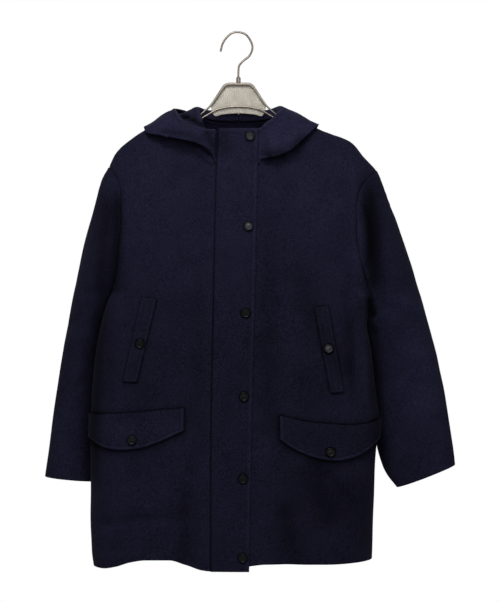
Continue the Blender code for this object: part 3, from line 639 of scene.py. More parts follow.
# What shows of each cut: width, length, area.
FRONT_CUT = {"right": (0.29, 0.90, 0.205), "left": (0.31, 0.90, 0.255)}
for side in (RIGHT, LEFT):
    grid = body_panel(side, False)
    grid = pressed(grid, grid_normals(grid, side.sign), BODY_CREASES)
    shade = outline_shade(side, grid)
    name, cut = "wool_front_" + side.name, FRONT_CUT[side.name]
    cloth_piece(name, grid, side.sign, seams=("r1", "c1"), shade=shade)
grid = np.concatenate([body_panel(RIGHT, True)[:, ::-1], body_panel(LEFT, True)[:, 1:]], axis=1)
grid = pressed(grid, grid_normals(grid, -1), BODY_CREASES)
# Painted light in the neck of the back's inside, and painted shade on the rest of it.
lit = bell(grid[..., 2] - NECK_LIGHT_Z, NECK_LIGHT_DOWN) * bell(grid[..., 0], NECK_LIGHT_ACROSS)
inside = INSIDE_SHADE - NECK_LIGHT * lit
cloth_piece("wool_back", grid, -1, seams=("r1", "c0", "c1"), inside=inside)

# The sleeves: set in at a dropped armhole, a tube each, cut a little full at the head. They hang down and
# slightly forward, with the softest creases below the underarm and inside the elbow.
SLEEVE_STEPS = 120
SLEEVE_LENGTH = 610
SLEEVE_STEP = 3.9
# Rings from shoulder to cuff: place, outer x and z, inner x and z, middle y, half depth.
RIGHT_SLEEVE = (
    (0, -247, -255, -240, -492, 0, 40),
    (1, -259, -276, -244.5, -501, 4, 46),
    (2, -273, -320, -248.0, -512, 12, 51),
    (3, -288, -375, -253.0, -528, 18, 53),
    (4, -302, -430, -256.0, -547, 23, 53),
    (5, -314, -482, -260.5, -571, 29, 51),
    (6, -324, -531, -264, -602, 36, 49),
    (7, -335, -588, -267, -636, 42, 46),
    (8, -345, -648, -270, -678, 44, 43),
    (9, -355, -710, -271, -727, 46, 39),
    (10, -364, -775, -272, -784, 46, 36),
    (11, -372, -847, -272, -856, 44, 33),
)
LEFT_SLEEVE = (
    (0, 263, -262, 247, -526, 0, 40),
    (1, 272, -281, 246.2, -536, 4, 48),
    (2, 288, -321, 244.5, -548, 12, 53),
    (3, 307, -371, 243.5, -563, 18, 55),
    (4, 326, -426, 246.0, -582, 23, 54),
    (5, 344, -480, 251, -605, 29, 52),
    (6, 361, -538, 252.5, -635, 38, 48),
    (7, 378, -601, 256, -674, 43, 43),
    (8, 393, -664, 260, -720, 45, 38),
    (9, 404, -729, 264, -772, 43, 33),
    (10, 412, -787, 277, -826, 40, 29),
    (11, 416, -824, 305, -867, 36, 26),
)
# How far the armhole's own shape carries on down the sleeve: place, share.
ARMHOLE_BLEND = ((0, 1.0), (1, 0.55), (2, 0.22), (3, 0.06), (4, 0.0))
SLEEVE_CREASES = {
    "front": (
        (-330, -560, -286, -520, 4, 9, 2.4), (-336, -600, -284, -575, -6, 10, -1.6),
        (-318, -470, -268, -500, 6, 9, 1.8), (-344, -690, -290, -655, 6, 12, 1.8),
        (-352, -760, -300, -742, 0, 14, -1.4), (-280, -300, -262, -400, 4, 9, 1.6),
        (268, -470, 330, -500, 6, 9, 2.0), (268, -520, 350, -560, -6, 10, 2.2),
        (280, -585, 370, -620, 8, 12, -1.8), (300, -650, 378, -672, 6, 12, 2.0),
        (316, -740, 392, -742, -6, 15, 1.6), (252, -290, 258, -500, -6, 13, 4.5),
        (286, -340, 300, -470, 0, 14, -1.4),
    ),
    "back": (
        (-340, -560, -280, -540, 4, 12, 2.6), (-350, -640, -290, -610, 6, 12, 2.2),
        (-356, -740, -300, -720, -6, 14, 1.6), (350, -560, 280, -540, 4, 12, 2.6),
        (376, -640, 300, -610, 6, 12, 2.2), (392, -740, 320, -720, -6, 14, 1.6),
    ),
}


def armhole(side):
    """The armhole seam: from the shoulder tip down the front, round the underarm and up the back."""
    turn = np.linspace(0, 2 * math.pi, SLEEVE_STEPS, endpoint=False)
    level = 1.5 + np.cos(turn) / 2
    front, back = (body_points(side, 1.0, level, facing) for facing in (False, True))
    return np.where((turn < math.pi)[:, None], front, back)


def sleeve_points(side, table):
    ring = armhole(side)
    tip, underarm = ring[0], ring[SLEEVE_STEPS // 2]
    chord = underarm - tip
    cosines = 1 - 2 * np.clip((ring - tip) @ chord / (chord @ chord), 0, 1)
    sines = np.sqrt(1 - cosines**2) * np.where(np.arange(SLEEVE_STEPS) < SLEEVE_STEPS // 2, -1, 1)
    places = stepped(0, table[-1][0], SLEEVE_STEP, SLEEVE_LENGTH)
    outer_x, outer_z, inner_x, inner_z, middle_y, depth = read(table, places).T[:, :, None]
    x = (outer_x + inner_x) / 2 + (outer_x - inner_x) / 2 * cosines
    z = (outer_z + inner_z) / 2 + (outer_z - inner_z) / 2 * cosines
    oval = np.stack([x, middle_y + depth * sines, z], axis=-1)
    return oval + (ring - oval[0]) * read(ARMHOLE_BLEND, places)[..., None]


# The seam allowance of the sleeve's head, turned into the body behind the armhole's edge.
ALLOWANCE = 6.0
ALLOWANCE_DROP = 3.4
for side, table in ((RIGHT, RIGHT_SLEEVE), (LEFT, LEFT_SLEEVE)):
    grid = sleeve_points(side, table)
    normals = grid_normals(grid, side.sign, ring=True)
    grid = pressed(grid, normals, SLEEVE_CREASES)
    allowance = grid[:1] - normals[:1] * ALLOWANCE_DROP - np.array((side.sign * ALLOWANCE, 0, 0))
    grid = np.concatenate([allowance, grid])
    name, front = "wool_sleeve_" + side.name, "wool_front_" + side.name
    cloth_piece(name, grid, side.sign, seams=("r0",), ring=True)

# Topstitching: short stitches of navy polyester thread that sink into the wool, along a line inside the
# turned edges. The cloth puffs up a little between the stitching and the edge, and is painted darker at the
# line, as painted shade in the groove.
STITCH_DIP = 0.75
STITCH_GROOVE = 1.3
STITCH_SHADE = (0.3, STITCH_GROOVE)
EDGE_PUFF = 0.45
# Where the puff is highest between the edge and the stitching, and its half width, as shares of the way.
PUFF_PLACE = 0.5
PUFF_WIDTH = 0.3
STITCH_PITCH = 3.8
STITCH_LENGTH = 2.9
STITCH_AHEAD = 0.5
THREAD_RADIUS = 0.32


def stitch_dip(inwards, line):
    """How far a topstitch line, and the puffed strip outside it, move the cloth's face inwards."""
    puff = EDGE_PUFF * bell(inwards - line * PUFF_PLACE, line * PUFF_WIDTH)
    return STITCH_DIP * bell(inwards - line, STITCH_GROOVE) - puff


def speckled(name, specks, detail, colours, sockets, ends=(0.0, 1.0), rough=()):
    """A material with a noise of so many specks a metre, that its colours and its roughness run with."""
    material, tree = new_material(name)
    sockets = dict(sockets)
    place = add_node(tree, "TexCoord").outputs["Object"]
    noise = add_node(tree, "TexNoise", {"Vector": place, "Scale": specks, "Detail": detail}).outputs["Fac"]
    if colours:
        tone = add_node(tree, "ValToRGB", {"Fac": noise})
        sockets["Base Color"] = tone.outputs["Color"]
        for stop, position, colour in zip(tone.color_ramp.elements, ends, colours):
            stop.position = position
            stop.color = linear(colour)
    if rough:
        finish = add_node(tree, "MapRange", {"Value": noise, "To Min": rough[0], "To Max": rough[1]})
        sockets["Roughness"] = finish.outputs[0]
    shader = add_node(tree, "BsdfPrincipled", sockets)
    add_node(tree, "OutputMaterial", {"Surface": shader.outputs[0]})
    return material


# Spun polyester is a matt thread, and its twist gives it a fine change of tone, one each 0.45 mm.
THREAD_TWISTS = 2200.0
dull = {"Roughness": 0.7, "Specular IOR Level": 0.1}
thread = speckled("navy_polyester_thread", THREAD_TWISTS, 1.0, ("#07060d", "#12111c"), dull)

# One stitch, a little spindle with few faces, from which each row takes its form. Its faces are turned
# round, because a row lays it out as beside, up and along, which mirrors it.
select_only()
bpy.ops.mesh.primitive_uv_sphere_add(segments=6, ring_count=5, radius=1.0)
spindle = bpy.context.object
stitch_form = np.array([v.co for v in spindle.data.vertices])
stitch_faces = [np.array(p.vertices)[::-1] for p in spindle.data.polygons]
bpy.data.objects.remove(spindle)


def run_of(points):
    """How far along a path each of its points lies."""
    return np.concatenate([[0], np.cumsum(np.linalg.norm(np.diff(points, axis=0), axis=1))])


def at_stations(stations, run, values):
    return np.stack([np.interp(stations, run, values[:, axis]) for axis in range(3)], axis=-1)


def stitch_row(name, path, normals):
    """A run of short stitches that lie along a path on the cloth, as one mesh."""
    run = run_of(path)
    stations = np.arange(STITCH_PITCH / 2, run[-1] - STITCH_LENGTH / 2, STITCH_PITCH)
    middle = at_stations(stations, run, path)
    along = unit(at_stations(stations + STITCH_AHEAD, run, path) - middle)
    beside = unit(np.cross(along, unit(at_stations(stations, run, normals))))
    up = np.cross(beside, along)
    points = (
        middle[:, None]
        + along[:, None] * stitch_form[None, :, 2:3] * STITCH_LENGTH / 2
        + beside[:, None] * stitch_form[None, :, 0:1] * THREAD_RADIUS
        + up[:, None] * (stitch_form[None, :, 1:2] * THREAD_RADIUS + THREAD_RADIUS / 2)
    )
    mesh = bpy.data.meshes.new(name)
    starts = range(0, len(middle) * len(stitch_form), len(stitch_form))
    faces = [(face + start).tolist() for start in starts for face in stitch_faces]
    mesh.from_pydata((points.reshape(-1, 3) * MM).tolist(), [], faces)
    mesh.shade_smooth()
    join_frame(new_object(name, mesh), thread)


# The hood: two halves joined down the centre back, worn down. It stands up from the neck seam, rolls over
# outwards and falls behind the shoulders as a soft double pouch, with its faced front edges inside.
HOOD_SECTIONS = 130
HOOD_STEPS = 76
HOOD_REST = 6.0
HOOD_SMOOTHED = 10
STAND_LEAN = 0.2
BACK_NECK_SHARE = 5
CURVE_STEPS = 16
# The height that stands for no shoulder at all.
NO_SHOULDER = -1e4
# Place from the placket to the centre back, the outer roll x y z, the free edge x y z, how far it stands
# above the neck seam, how far its upper layer bulges.
RIGHT_HOOD = (
    (0.00, -43.6, -58, -229, -41.6, -54, -188, 5, 1),
    (0.14, -66, -68, -219, -62, -52, -186, 4, 4),
    (0.27, -94, -70, -211, -82, -46, -182, 6, 7),
    (0.41, -134, -58, -204, -98, -36, -173, 8, 10),
    (0.54, -174, -30, -193, -113, -22, -155, 12, 7),
    (0.66, -178, 20, -184, -120, 12, -141, 15, 6),
    (0.78, -156, 76, -228, -108, 58, -138, 18, 12),
    (0.89, -92, 110, -292, -66, 98, -148, 19, 16),
    (1.00, 0, 122, -330, 0, 112, -165, 18, 15),
)
LEFT_HOOD = (
    (0.00, -31, -47.4, -228, -31, -49.7, -193, 6, 0),
    (0.14, 10, -47.9, -230, 8, -49.9, -191, 6, 0),
    (0.231, 40, -48.0, -238, 38, -49.9, -186, 6, 0),
    (0.32, 66, -67, -241, 50, -55, -177, 3, 4),
    (0.44, 98, -66, -229, 64, -45, -165, 5, 8),
    (0.53, 126, -48, -205, 75, -30, -152, 11, 7),
    (0.63, 153, -10, -179, 84, -6, -141, 14, 4),
    (0.76, 142, 60, -218, 88, 42, -137, 17, 12),
    (0.88, 84, 106, -288, 58, 94, -148, 19, 16),
    (1.00, 0, 122, -330, 0, 112, -165, 18, 15),
)
# The x of the neck seam on each front, from the placket to the shoulder.
RIGHT_NECK_PLACES = np.linspace(float(centre_x(RIGHT, RIGHT.tip, False)), -NECK_X, 7)
LEFT_NECK_PLACES = (-31, -8, 15, 40, 48, 56, 64, 72, NECK_X)
HOOD_CREASES = {
    "front": (
        (-150, -172, -60, -214, 5, 7, 1.6), (-124, -158, -98, -178, 2, 5, 2.0),
    ),
    "back": (
        (-70, -200, 70, -205, -20, 14, 2.0), (-120, -230, -40, -290, 8, 14, 2.4),
        (120, -225, 30, -285, -8, 14, 2.4),
    ),
}
# The roll is painted lighter, most at the edge, as painted light. The inside is painted lighter too, as
# painted light, with painted shade in the folds by the neck.
FORWARD = np.array((0.0, -1.0, 0.0))
HOOD_STITCH = 9.0
HOOD_PAINTED_LIGHT = -0.42
HOOD_INSIDE = -0.45
HOOD_RIM_SHADE = (-0.5, 3.5)
HOOD_STITCH_SHADE = (0.3, 1.4)
HOOD_SHADES = {
    "front": (
        (-120, -142, -96, -168, 3, 9, 1.2), (-98, -164, -40, -186, 4, 7, 1.2),
        (-84, -138, -80, -172, 0, 5, 0.6), (-62, -142, -58, -178, 0, 5, 0.6),
        (-70, -152, 76, -152, 0, 13, -1.1),
    ),
}


def even_path(points, count):
    """A smooth curve through the points, as count points evenly spaced along it."""
    points = [np.array(p, float) for p in points]
    padded = [2 * points[0] - points[1], *points, 2 * points[-1] - points[-2]]
    t = np.linspace(0, 1, CURVE_STEPS, endpoint=False)[:, None]
    fine = []
    for before, a, b, after in zip(padded, padded[1:], padded[2:], padded[3:]):
        bend = 2 * before - 5 * a + 4 * b - after
        fine.append(0.5 * (2 * a + (b - before) * t + bend * t**2 + (3 * (a - b) + after - before) * t**3))
    fine = np.concatenate([*fine, points[-1][None]])
    run = run_of(fine)
    return at_stations(np.linspace(0, run[-1], count), run, fine)


def shoulder_top(side, x, y):
    """Height of the shoulder under a place, or far below where there is none."""
    depths = read(BODY_DEPTH, side.tip)
    full = np.where(y > 0, depths[1], depths[0])
    top_round = np.where(y > 0, BACK_TOP_ROUND, FRONT_TOP_ROUND)
    share = np.clip(y / full, -1, 1)
    height = read(side.ridge, x)[..., 0] - top_round * (1 - np.sqrt(1 - share**2))
    return np.where((np.abs(y) >= full) | (np.abs(x) < NECK_X), NO_SHOULDER, height)


def hood_points(side, table, neck_places):
    """Sections from the placket to the centre back, each from the neck seam over the roll to the edge."""
    last = len(neck_places) - 1
    whole = last + BACK_NECK_SHARE
    centre, tip = float(centre_x(side, side.tip, False)), float(read(side.edge, side.tip)[0])
    sections = []
    for place in np.linspace(0, 1, HOOD_SECTIONS):
        number = place * whole
        facing_back = number > last
        if facing_back:
            x = side.sign * NECK_X * (whole - number) / BACK_NECK_SHARE
            across = x / tip
        else:
            x = np.interp(number, range(last + 1), neck_places)
            across = (x - centre) / (tip - centre)
        seam = body_points(side, across, 2.0, facing_back)
        values = read(table, place)
        roll, edge, stand, bulge = values[0:3], values[3:6], values[6], values[7]
        out = np.array((roll[0] - seam[0], roll[1] - seam[1], 0.0))
        out /= max(np.linalg.norm(out), 1e-6)
        top = seam + np.array((0, 0, stand)) + out * STAND_LEAN * stand
        lifted = (roll + edge) / 2 + (out + np.array((0, 0, 1.0))) * bulge / math.sqrt(2)
        sections.append(even_path((seam, top, roll, lifted, edge), HOOD_STEPS))
    grid = np.array(sections)
    resting = shoulder_top(side, grid[..., 0], grid[..., 1]) + HOOD_REST
    grid[:, 1:, 2] = np.maximum(grid[..., 2], resting)[:, 1:]
    for _ in range(HOOD_SMOOTHED):
        mean = (grid[:-2, 1:-1] + grid[2:, 1:-1] + grid[1:-1, :-2] + grid[1:-1, 2:]) / 4
        grid[1:-1, 1:-1] += 0.5 * (mean - grid[1:-1, 1:-1])
    return grid


HOOD_CUT = {"right": (0.36, 0.40, 0.085), "left": (0.36, 0.40, 0.08)}
hoods = ((RIGHT, RIGHT_HOOD, RIGHT_NECK_PLACES), (LEFT, LEFT_HOOD, LEFT_NECK_PLACES))
for side, table, neck_places in hoods:
    grid = hood_points(side, table, neck_places)
    outward = -side.sign
    grid = pressed(grid, grid_normals(grid, outward), HOOD_CREASES)
    normals = grid_normals(grid, outward)
    rim = edge_distances(grid, ("c1",))
    grid = grid - normals * stitch_dip(rim, HOOD_STITCH)[..., None]
    # Painted light on the roll and at the edge, painted shade at the stitching, and on the inside painted
    # light and shade.
    shade = HOOD_PAINTED_LIGHT + line_shade(rim, HOOD_RIM_SHADE)
    shade += line_shade(rim - HOOD_STITCH, HOOD_STITCH_SHADE)
    inside = HOOD_INSIDE + lines_total(grid, np.broadcast_to(FORWARD, grid.shape), HOOD_SHADES)
    name, cut = "wool_hood_" + side.name, HOOD_CUT[side.name]
    cloth_piece(name, grid, outward, seams=("c0", "r1"), shade=shade, inside=inside)
    column = int(np.argmin(np.abs(rim[len(rim) // 2] - HOOD_STITCH)))
    stitch_row("hood_stitches_" + side.name, grid[:, column], normals[:, column])

# The placket: a doubled strip of the same cloth, sewn to the edge of the right front and topstitched 9 mm
# in from its free edge. It covers the left front's edge, stands up past the neck seam and has six snaps.
PLACKET_TOP = -186.0
PLACKET_HEM = -1013.0
PLACKET_LEAN = 0.06
PLACKET_NECK = -256.0
PLACKET_WIDTH = 74
PLACKET_STEP_DOWN = 3.2
PLACKET_STEP_ACROSS = 1.8
# The strip is cut straight, so its area is its width times its length.
PLACKET_SEAM_DIP = 0.6
PLACKET_SEAM_WIDTH = 3.0
# The stitching and the puffed edge fade out at the corner, where the two free edges meet.
CORNER_START = 4
CORNER_FADE = 6
STITCH_IN = 9.0
# Each row is the snap's x, its z, how far the cap leans up, in degrees.
PLACKET_SNAPS = (
    (21.9, -201, 9), (19.2, -369.6, 13), (14, -531.6, -4), (10.7, -687.4, 3), (8.8, -840.7, -5),
    (8.2, -986.8, 2),
)
SNAP_RADIUS = 8.0
# Painted shade round a snap and at the seam, painted light on the puffed edge: darkness, half width.
SNAP_SHADE = (0.95, 2.3)
PLACKET_SEAM_SHADE = (0.8, 2.0)
PUFF_SHADE = (-0.28, 3.2)
# The chest is painted a little lighter, as painted light, from this height up.
CHEST_LIGHT = 0.12
CHEST_START = -420
CHEST_FADE = 200


def placket_points(x, z):
    lean = np.maximum(0.0, z - PLACKET_NECK) * PLACKET_LEAN
    under = half_depth(LEFT, x, np.minimum(z, PLACKET_NECK), False)
    return np.stack([x, -under - LAYER - lean, z], axis=-1)


def snap_shade(x, z, snap):
    """How much painted shade the cloth gets round a snap's cap."""
    return line_shade(np.hypot(x - snap[0], z - snap[1]) - SNAP_RADIUS, SNAP_SHADE)


rows = stepped(PLACKET_HEM, PLACKET_TOP, PLACKET_STEP_DOWN, PLACKET_TOP - PLACKET_HEM)[:, None]
shares = stepped(0, 1, PLACKET_STEP_ACROSS, PLACKET_WIDTH)[None, :]
seam_x, free_x = np.moveaxis(read(PLACKET, rows[:, 0]), -1, 0)[:, :, None]
x = seam_x + (free_x - seam_x) * shares
grid = placket_points(x, np.broadcast_to(rows, x.shape))
grid = pressed(grid, grid_normals(grid, 1), BODY_CREASES)
normals = grid_normals(grid, 1)
from_free, from_top = free_x - x, PLACKET_TOP - rows
rim = np.minimum(from_free, from_top)
dip = stitch_dip(rim, STITCH_IN) * fade((from_free + from_top - CORNER_START) / CORNER_FADE)
dip += PLACKET_SEAM_DIP * bell(x - seam_x, PLACKET_SEAM_WIDTH)
face = grid - normals * dip[..., None]
# Painted shade at the seam, the stitching and round the snaps, painted light on the puffed edge and chest.
shade = line_shade(x - seam_x, PLACKET_SEAM_SHADE) + line_shade(rim - STITCH_IN, STITCH_SHADE)
shade += line_shade(rim - STITCH_IN / 2, PUFF_SHADE)
shade -= CHEST_LIGHT * fade((rows - CHEST_START) / CHEST_FADE)
for snap in PLACKET_SNAPS:
    shade += snap_shade(grid[..., 0], grid[..., 2], snap)
cloth_piece("wool_placket", face, 1, shade=shade)
column = int(np.argmin(np.abs(from_free[0] - STITCH_IN)))
row = int(np.argmin(np.abs(from_top[:, 0] - STITCH_IN)))
path, facing = (np.concatenate([g[: row + 1, column], g[row, column - 1 :: -1]]) for g in (face, normals))
stitch_row("placket_stitches", path, facing)

# The pockets: a slanted welt on each breast and a curved flap on each hip, cut from the same cloth and
# faced, topstitched 7 mm in from their free edges and painted lighter there, as painted light, each closed
# with a snap.
PATCH_REST = 0.9
PATCH_STITCH = 7.0
# Painted shade along each patch's edge, and how far in from it its painted light lies.
PATCH_RIM_SHADE = (0.5, 1.2)
RIM_LIGHT_IN = 3.8
POCKET_SNAPS = {
    "welt_right": (-183.4, -588.5, -6),
    "welt_left": (168.7, -598.2, 14),
    "flap_right": (-198.4, -768.5, 5),
    "flap_left": (172, -790.5, 12),
}
# The cloth, the painted light inside its rim (negative darkness, half width), and the cut: width, length,
# area. The stitched edges follow one another, and -1 turns one round so that the thread runs on.
WELT = (3.0, (-0.12, 2.4), (0.03, 0.165, 0.0046))
FLAP = (3.4, (-0.45, 2.4), (0.205, 0.085, 0.0135))
WELT_LINES = {"c0": 1, "r1": 1, "c1": -1, "r0": -1}
FLAP_LINES = {"right": {"c1": 1, "r1": -1}, "left": {"c0": 1, "r1": 1}}
# How near to another line of stitching one ends, and how far apart the mesh's points are.
LINE_MEETS = 0.6
WELT_SIZE = (162, 27)
WELT_STEPS = (2.0, 1.6)
FLAP_DEPTH = 65
FLAP_STEPS = (2.2, 2.4)


def front_face(side, x, z):
    """Points of a front's creased face at a grid of places, their normals, and which way they turn."""
    grid = np.stack([x, -half_depth(side, x, z, False), z], axis=-1)
    outward = -1 if grid_normals(grid, 1)[..., 1].mean() > 0 else 1
    grid = pressed(grid, grid_normals(grid, outward), BODY_CREASES)
    return grid, grid_normals(grid, outward), outward


def pocket_piece(name, side, x, z, made, lines):
    """A patch on a front, and its topstitching along the rows and columns named in lines."""
    thickness, rim_painted_light, cut = made
    base, normals, outward = front_face(side, x, z)
    rim = edge_distances(base, lines)
    face = base + normals * (PATCH_REST + thickness - stitch_dip(rim, PATCH_STITCH))[..., None]
    # Painted shade at the edge, the stitching and round the snap, and painted light just inside the edge.
    shade = line_shade(edge_distances(base, ("r0", "r1", "c0", "c1")), PATCH_RIM_SHADE)
    shade += line_shade(rim - PATCH_STITCH, STITCH_SHADE) + line_shade(rim - RIM_LIGHT_IN, rim_painted_light)
    shade += snap_shade(x, z, POCKET_SNAPS[name])
    cloth_piece("wool_" + name, face, outward, thickness, shade=shade)
    path, facing = [], []
    inwards = {edge: edge_distances(base, (edge,)) for edge in lines}
    for edge, way in lines.items():
        axis = "rc".index(edge[0])
        nearest = np.argmin(np.abs(inwards[edge] - PATCH_STITCH), axis=axis)
        others = np.arange(len(nearest))
        places = (others, nearest) if axis else (nearest, others)
        keep = np.full(len(nearest), True)
        for other in lines:
            if other != edge:
                keep &= inwards[other][places] > PATCH_STITCH - LINE_MEETS
        path.append(face[places][keep][::way])
        facing.append(normals[places][keep][::way])
    stitch_row(name + "_stitches", np.concatenate(path), np.concatenate(facing))


for side in (RIGHT, LEFT):
    corners = np.array(WELTS[side.name])
    down = stepped(0, 1, WELT_STEPS[0], WELT_SIZE[0])[:, None, None]
    over = stepped(0, 1, WELT_STEPS[1], WELT_SIZE[1])[None, :, None]
    inner = corners[0] * (1 - down) + corners[2] * down
    outer = corners[1] * (1 - down) + corners[3] * down
    x, z = np.moveaxis(inner * (1 - over) + outer * over, -1, 0)
    pocket_piece("welt_" + side.name, side, x, z, WELT, WELT_LINES)

    table = FLAPS[side.name]
    far_x, near_x = table[0][0], table[-1][0]
    x = stepped(far_x, near_x, FLAP_STEPS[1], abs(near_x - far_x))[None, :]
    top, bottom = np.moveaxis(read(table, x), -1, 0)
    z = top + (bottom - top) * stepped(0, 1, FLAP_STEPS[0], FLAP_DEPTH)[:, None]
    pocket_piece("flap_" + side.name, side, np.broadcast_to(x, z.shape), z, FLAP, FLAP_LINES[side.name])

# The snaps: pressed brass ring snaps, plated in dark gunmetal that is too dull for a sharp reflection. Each
# cap has a rolled rim and a shallow plain dish, and leans a little with the cloth it is set in.
SNAP_HEIGHT = 2.6
SNAP_ROLL = 0.55
# From the rim to the middle of the dish: how far each step goes in, and how far it rises.
SNAP_DISH = ((1.5, 0.0), (0.5, -1.0), (2.4, 0.35), (2.0, 0.15))
SPOT = 2.0
SNAP_SIDES = 48
TOP_FACING = 0.9
ROLL_ANGLE = math.radians(40)
SHARP = math.radians(50)
PLATING_SPECKS = 900.0
dark = ("#0a0a0b", "#1c1c1d")
metal = {"Metallic": 1.0}
gunmetal = speckled("gunmetal_plated_brass", PLATING_SPECKS, 3.0, dark, metal, rough=(0.22, 0.42))


def snap_cap(name, place, normal, lean):
    select_only()
    size = {"radius": SNAP_RADIUS * MM, "depth": SNAP_HEIGHT * MM}
    bpy.ops.mesh.primitive_cylinder_add(vertices=SNAP_SIDES, **size)
    cap = bpy.context.object
    cap.name = name
    bpy.ops.object.mode_set(mode="EDIT")
    bpy.ops.mesh.select_mode(type="FACE")
    shape = bmesh.from_edit_mesh(cap.data)
    for face in shape.faces:
        face.select_set(False)
    for face in shape.faces:
        if face.normal.z > TOP_FACING:
            face.select_set(True)
    bmesh.update_edit_mesh(cap.data)
    for inwards, rise in SNAP_DISH:
        bpy.ops.mesh.inset(thickness=inwards * MM)
        bpy.ops.transform.translate(value=(0, 0, rise * MM))
    bpy.ops.object.mode_set(mode="OBJECT")
    rim = cap.modifiers.new("rolled_rim", "BEVEL")
    rim.width = SNAP_ROLL * MM
    rim.segments = 3
    rim.limit_method = "ANGLE"
    rim.angle_limit = ROLL_ANGLE
    bpy.ops.object.modifier_apply(modifier="rolled_rim")
    bpy.ops.object.shade_smooth_by_angle(angle=SHARP)
    facing = Vector(normal).to_track_quat("Z", "Y").to_matrix().to_4x4()
    cap.data.transform(Matrix.Rotation(math.radians(lean), 4, "X").inverted() @ facing)
    middle = Vector(place) + Vector(normal) * (SEAM_GAP + SNAP_HEIGHT / 2)
    cap.data.transform(Matrix.Translation(middle * MM))
    join_frame(cap, gunmetal, name.replace("cap", "snap"))


def spot(surface_of, x, z):
    """A small grid of a face round a place, and its normals, which point forwards."""
    around = np.array((-SPOT, 0, SPOT))
    grid = surface_of(*np.meshgrid(x + around, z + around))
    normals = grid_normals(grid, 1)
    return grid, normals * -np.sign(normals[1, 1, 1])


for number, (x, z, lean) in enumerate(PLACKET_SNAPS, 1):
    grid, normals = spot(placket_points, x, z)
    grid = pressed(grid, normals, BODY_CREASES)
    snap_cap(f"cap_placket_{number}", grid[1, 1], normals[1, 1], lean)
for name, (x, z, lean) in POCKET_SNAPS.items():
    side = RIGHT if name.endswith("right") else LEFT
    grid, normals = spot(lambda x, z: front_face(side, x, z)[0], x, z)
    raised = PATCH_REST + (WELT if name.startswith("welt") else FLAP)[0]
    snap_cap("cap_" + name, grid[1, 1] + normals[1, 1] * raised, normals[1, 1], lean)

# The hanger: a nickel-plated steel wire bent into one loop that carries the shoulders, and a hook that
# turns in a collar. The plating has worn to a warm satin grey with a soft, uneven gloss.
HOOK_WIRE = 1.9
FRAME_WIRE = 1.8
TOP_BAR_Z = -97.0
STEM_END = TOP_BAR_Z + FRAME_WIRE + SEAM_GAP
HANGER_REACH = 190.0
CLOTH_OVER_WIRE = 1.7
RIDGE_DROP = CLOTH + CLOTH_OVER_WIRE + FRAME_WIRE
SHOULDER_SHARES = (0.14, 0.28, 0.42, 0.56, 0.69, 0.8)
# Half of the loop, from the middle out along the top and back along the arch below: x, z.
UPPER_BAR = (
    (0, TOP_BAR_Z), (18, TOP_BAR_Z), (26, -100), (33, -109), (45, -127), (54, -139), (66, -149.5),
    (80, -159.5),
)
END_BEND = ((13, 10), (4, 17))
LOWER_ARCH = ((120, -186), (80, -168), (60, -156), (36, -144), (0, -139.5))
HOOK = (
    (-34, -35), (-28.5, -17), (-15, -1.5), (-0.5, HOOK_WIRE), (15.5, -4), (26.5, -24), (22, -41.5),
    (9, -53), (1.5, -62), (0, -74), (0, STEM_END),
)
# How many points each wire's path has.
LOOP_POINTS = 260
HOOK_POINTS = 110
DRAWN_SPECKS = 300.0
worn = {"Base Color": linear("#5c564f"), "Metallic": 1.0, "Specular Tint": linear("#3a2c26")}
nickel = speckled("nickel_plated_steel", DRAWN_SPECKS, 2.0, (), worn, rough=(0.3, 0.42))


def wire_piece(name, points, radius, count, material, node=None, closed=False, swell=None):
    """A round wire along a smooth curve. swell gives its radius by the distance from the middle."""
    curve = bpy.data.curves.new(name, "CURVE")
    curve.dimensions = "3D"
    spline = curve.splines.new("POLY")
    path = even_path([(x, 0, z) for x, z in points], count)
    path = path[:-1] if closed else path
    spline.points.add(len(path) - 1)
    for point, place in zip(spline.points, path):
        point.co = (*place * MM, 1)
        if swell:
            point.radius = float(read(swell, abs(place[0]))[0])
    spline.use_cyclic_u = closed
    curve.bevel_depth = radius * MM
    curve.bevel_resolution = 5
    curve.use_fill_caps = not closed
    select_only(new_object(name, curve))
    bpy.ops.object.convert(target="MESH")
    wire = bpy.context.object
    wire.name = name
    bpy.ops.object.shade_smooth_by_angle(angle=SHARP)
    join_frame(wire, material, node)


def half_loop(side):
    s = side.sign
    tip = float(read(side.edge, side.tip)[0])
    spots = [s * NECK_X + (tip - s * NECK_X) * share for share in SHOULDER_SHARES]
    upper = [(x, float(read(side.ridge, x)[0]) - RIDGE_DROP) for x in spots if abs(x) < HANGER_REACH]
    end_x, end_z = upper[-1]
    bend = [(end_x + s * out, end_z - drop) for out, drop in END_BEND]
    return [(s * x, z) for x, z in UPPER_BAR] + upper + bend + [(s * x, z) for x, z in LOWER_ARCH]


loop = half_loop(LEFT) + half_loop(RIGHT)[-2::-1]
wire_piece("bent_wire", loop, FRAME_WIRE, LOOP_POINTS, nickel, "hanger_wire", closed=True)
wire_piece("hook_wire", HOOK, HOOK_WIRE, HOOK_POINTS, nickel, "hanger_hook")
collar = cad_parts["hanger_collar"]
collar.data.materials.clear()
collar.data.materials.append(nickel)

# The plate: grey-beige polypropylene, moulded in one piece with a thicker lip along its upper edge and
# half-round upright ribs. The polished mould gives it a soft gloss, and its colour is a little uneven.
PLATE_THICKNESS = 2.4
# Half of its outline, from the top middle round and from the bottom middle out: x, z.
PLATE_TOP = ((19, -98), (26, -101), (33, -110), (45, -129), (52, -140))
PLATE_BOTTOM = ((0, -152), (30, -154), (45, -157), (52, -140))
# How far the flat of the plate and the middle of the ribs lie behind its foremost face.
FLAT_BACK = 0.6
RIB_BACK = 0.75
RIBS_A_SIDE = 14
RIB_PITCH = 3.5
RIB_RADIUS = 1.25
RIB_SIDES = 12
RIB_FLATNESS = 0.5
RIB_BELOW_TOP = 3.2
RIB_ABOVE_BOTTOM = 1.6
SHORTEST_RIB = 6
PLATE_EDGE = 0.4
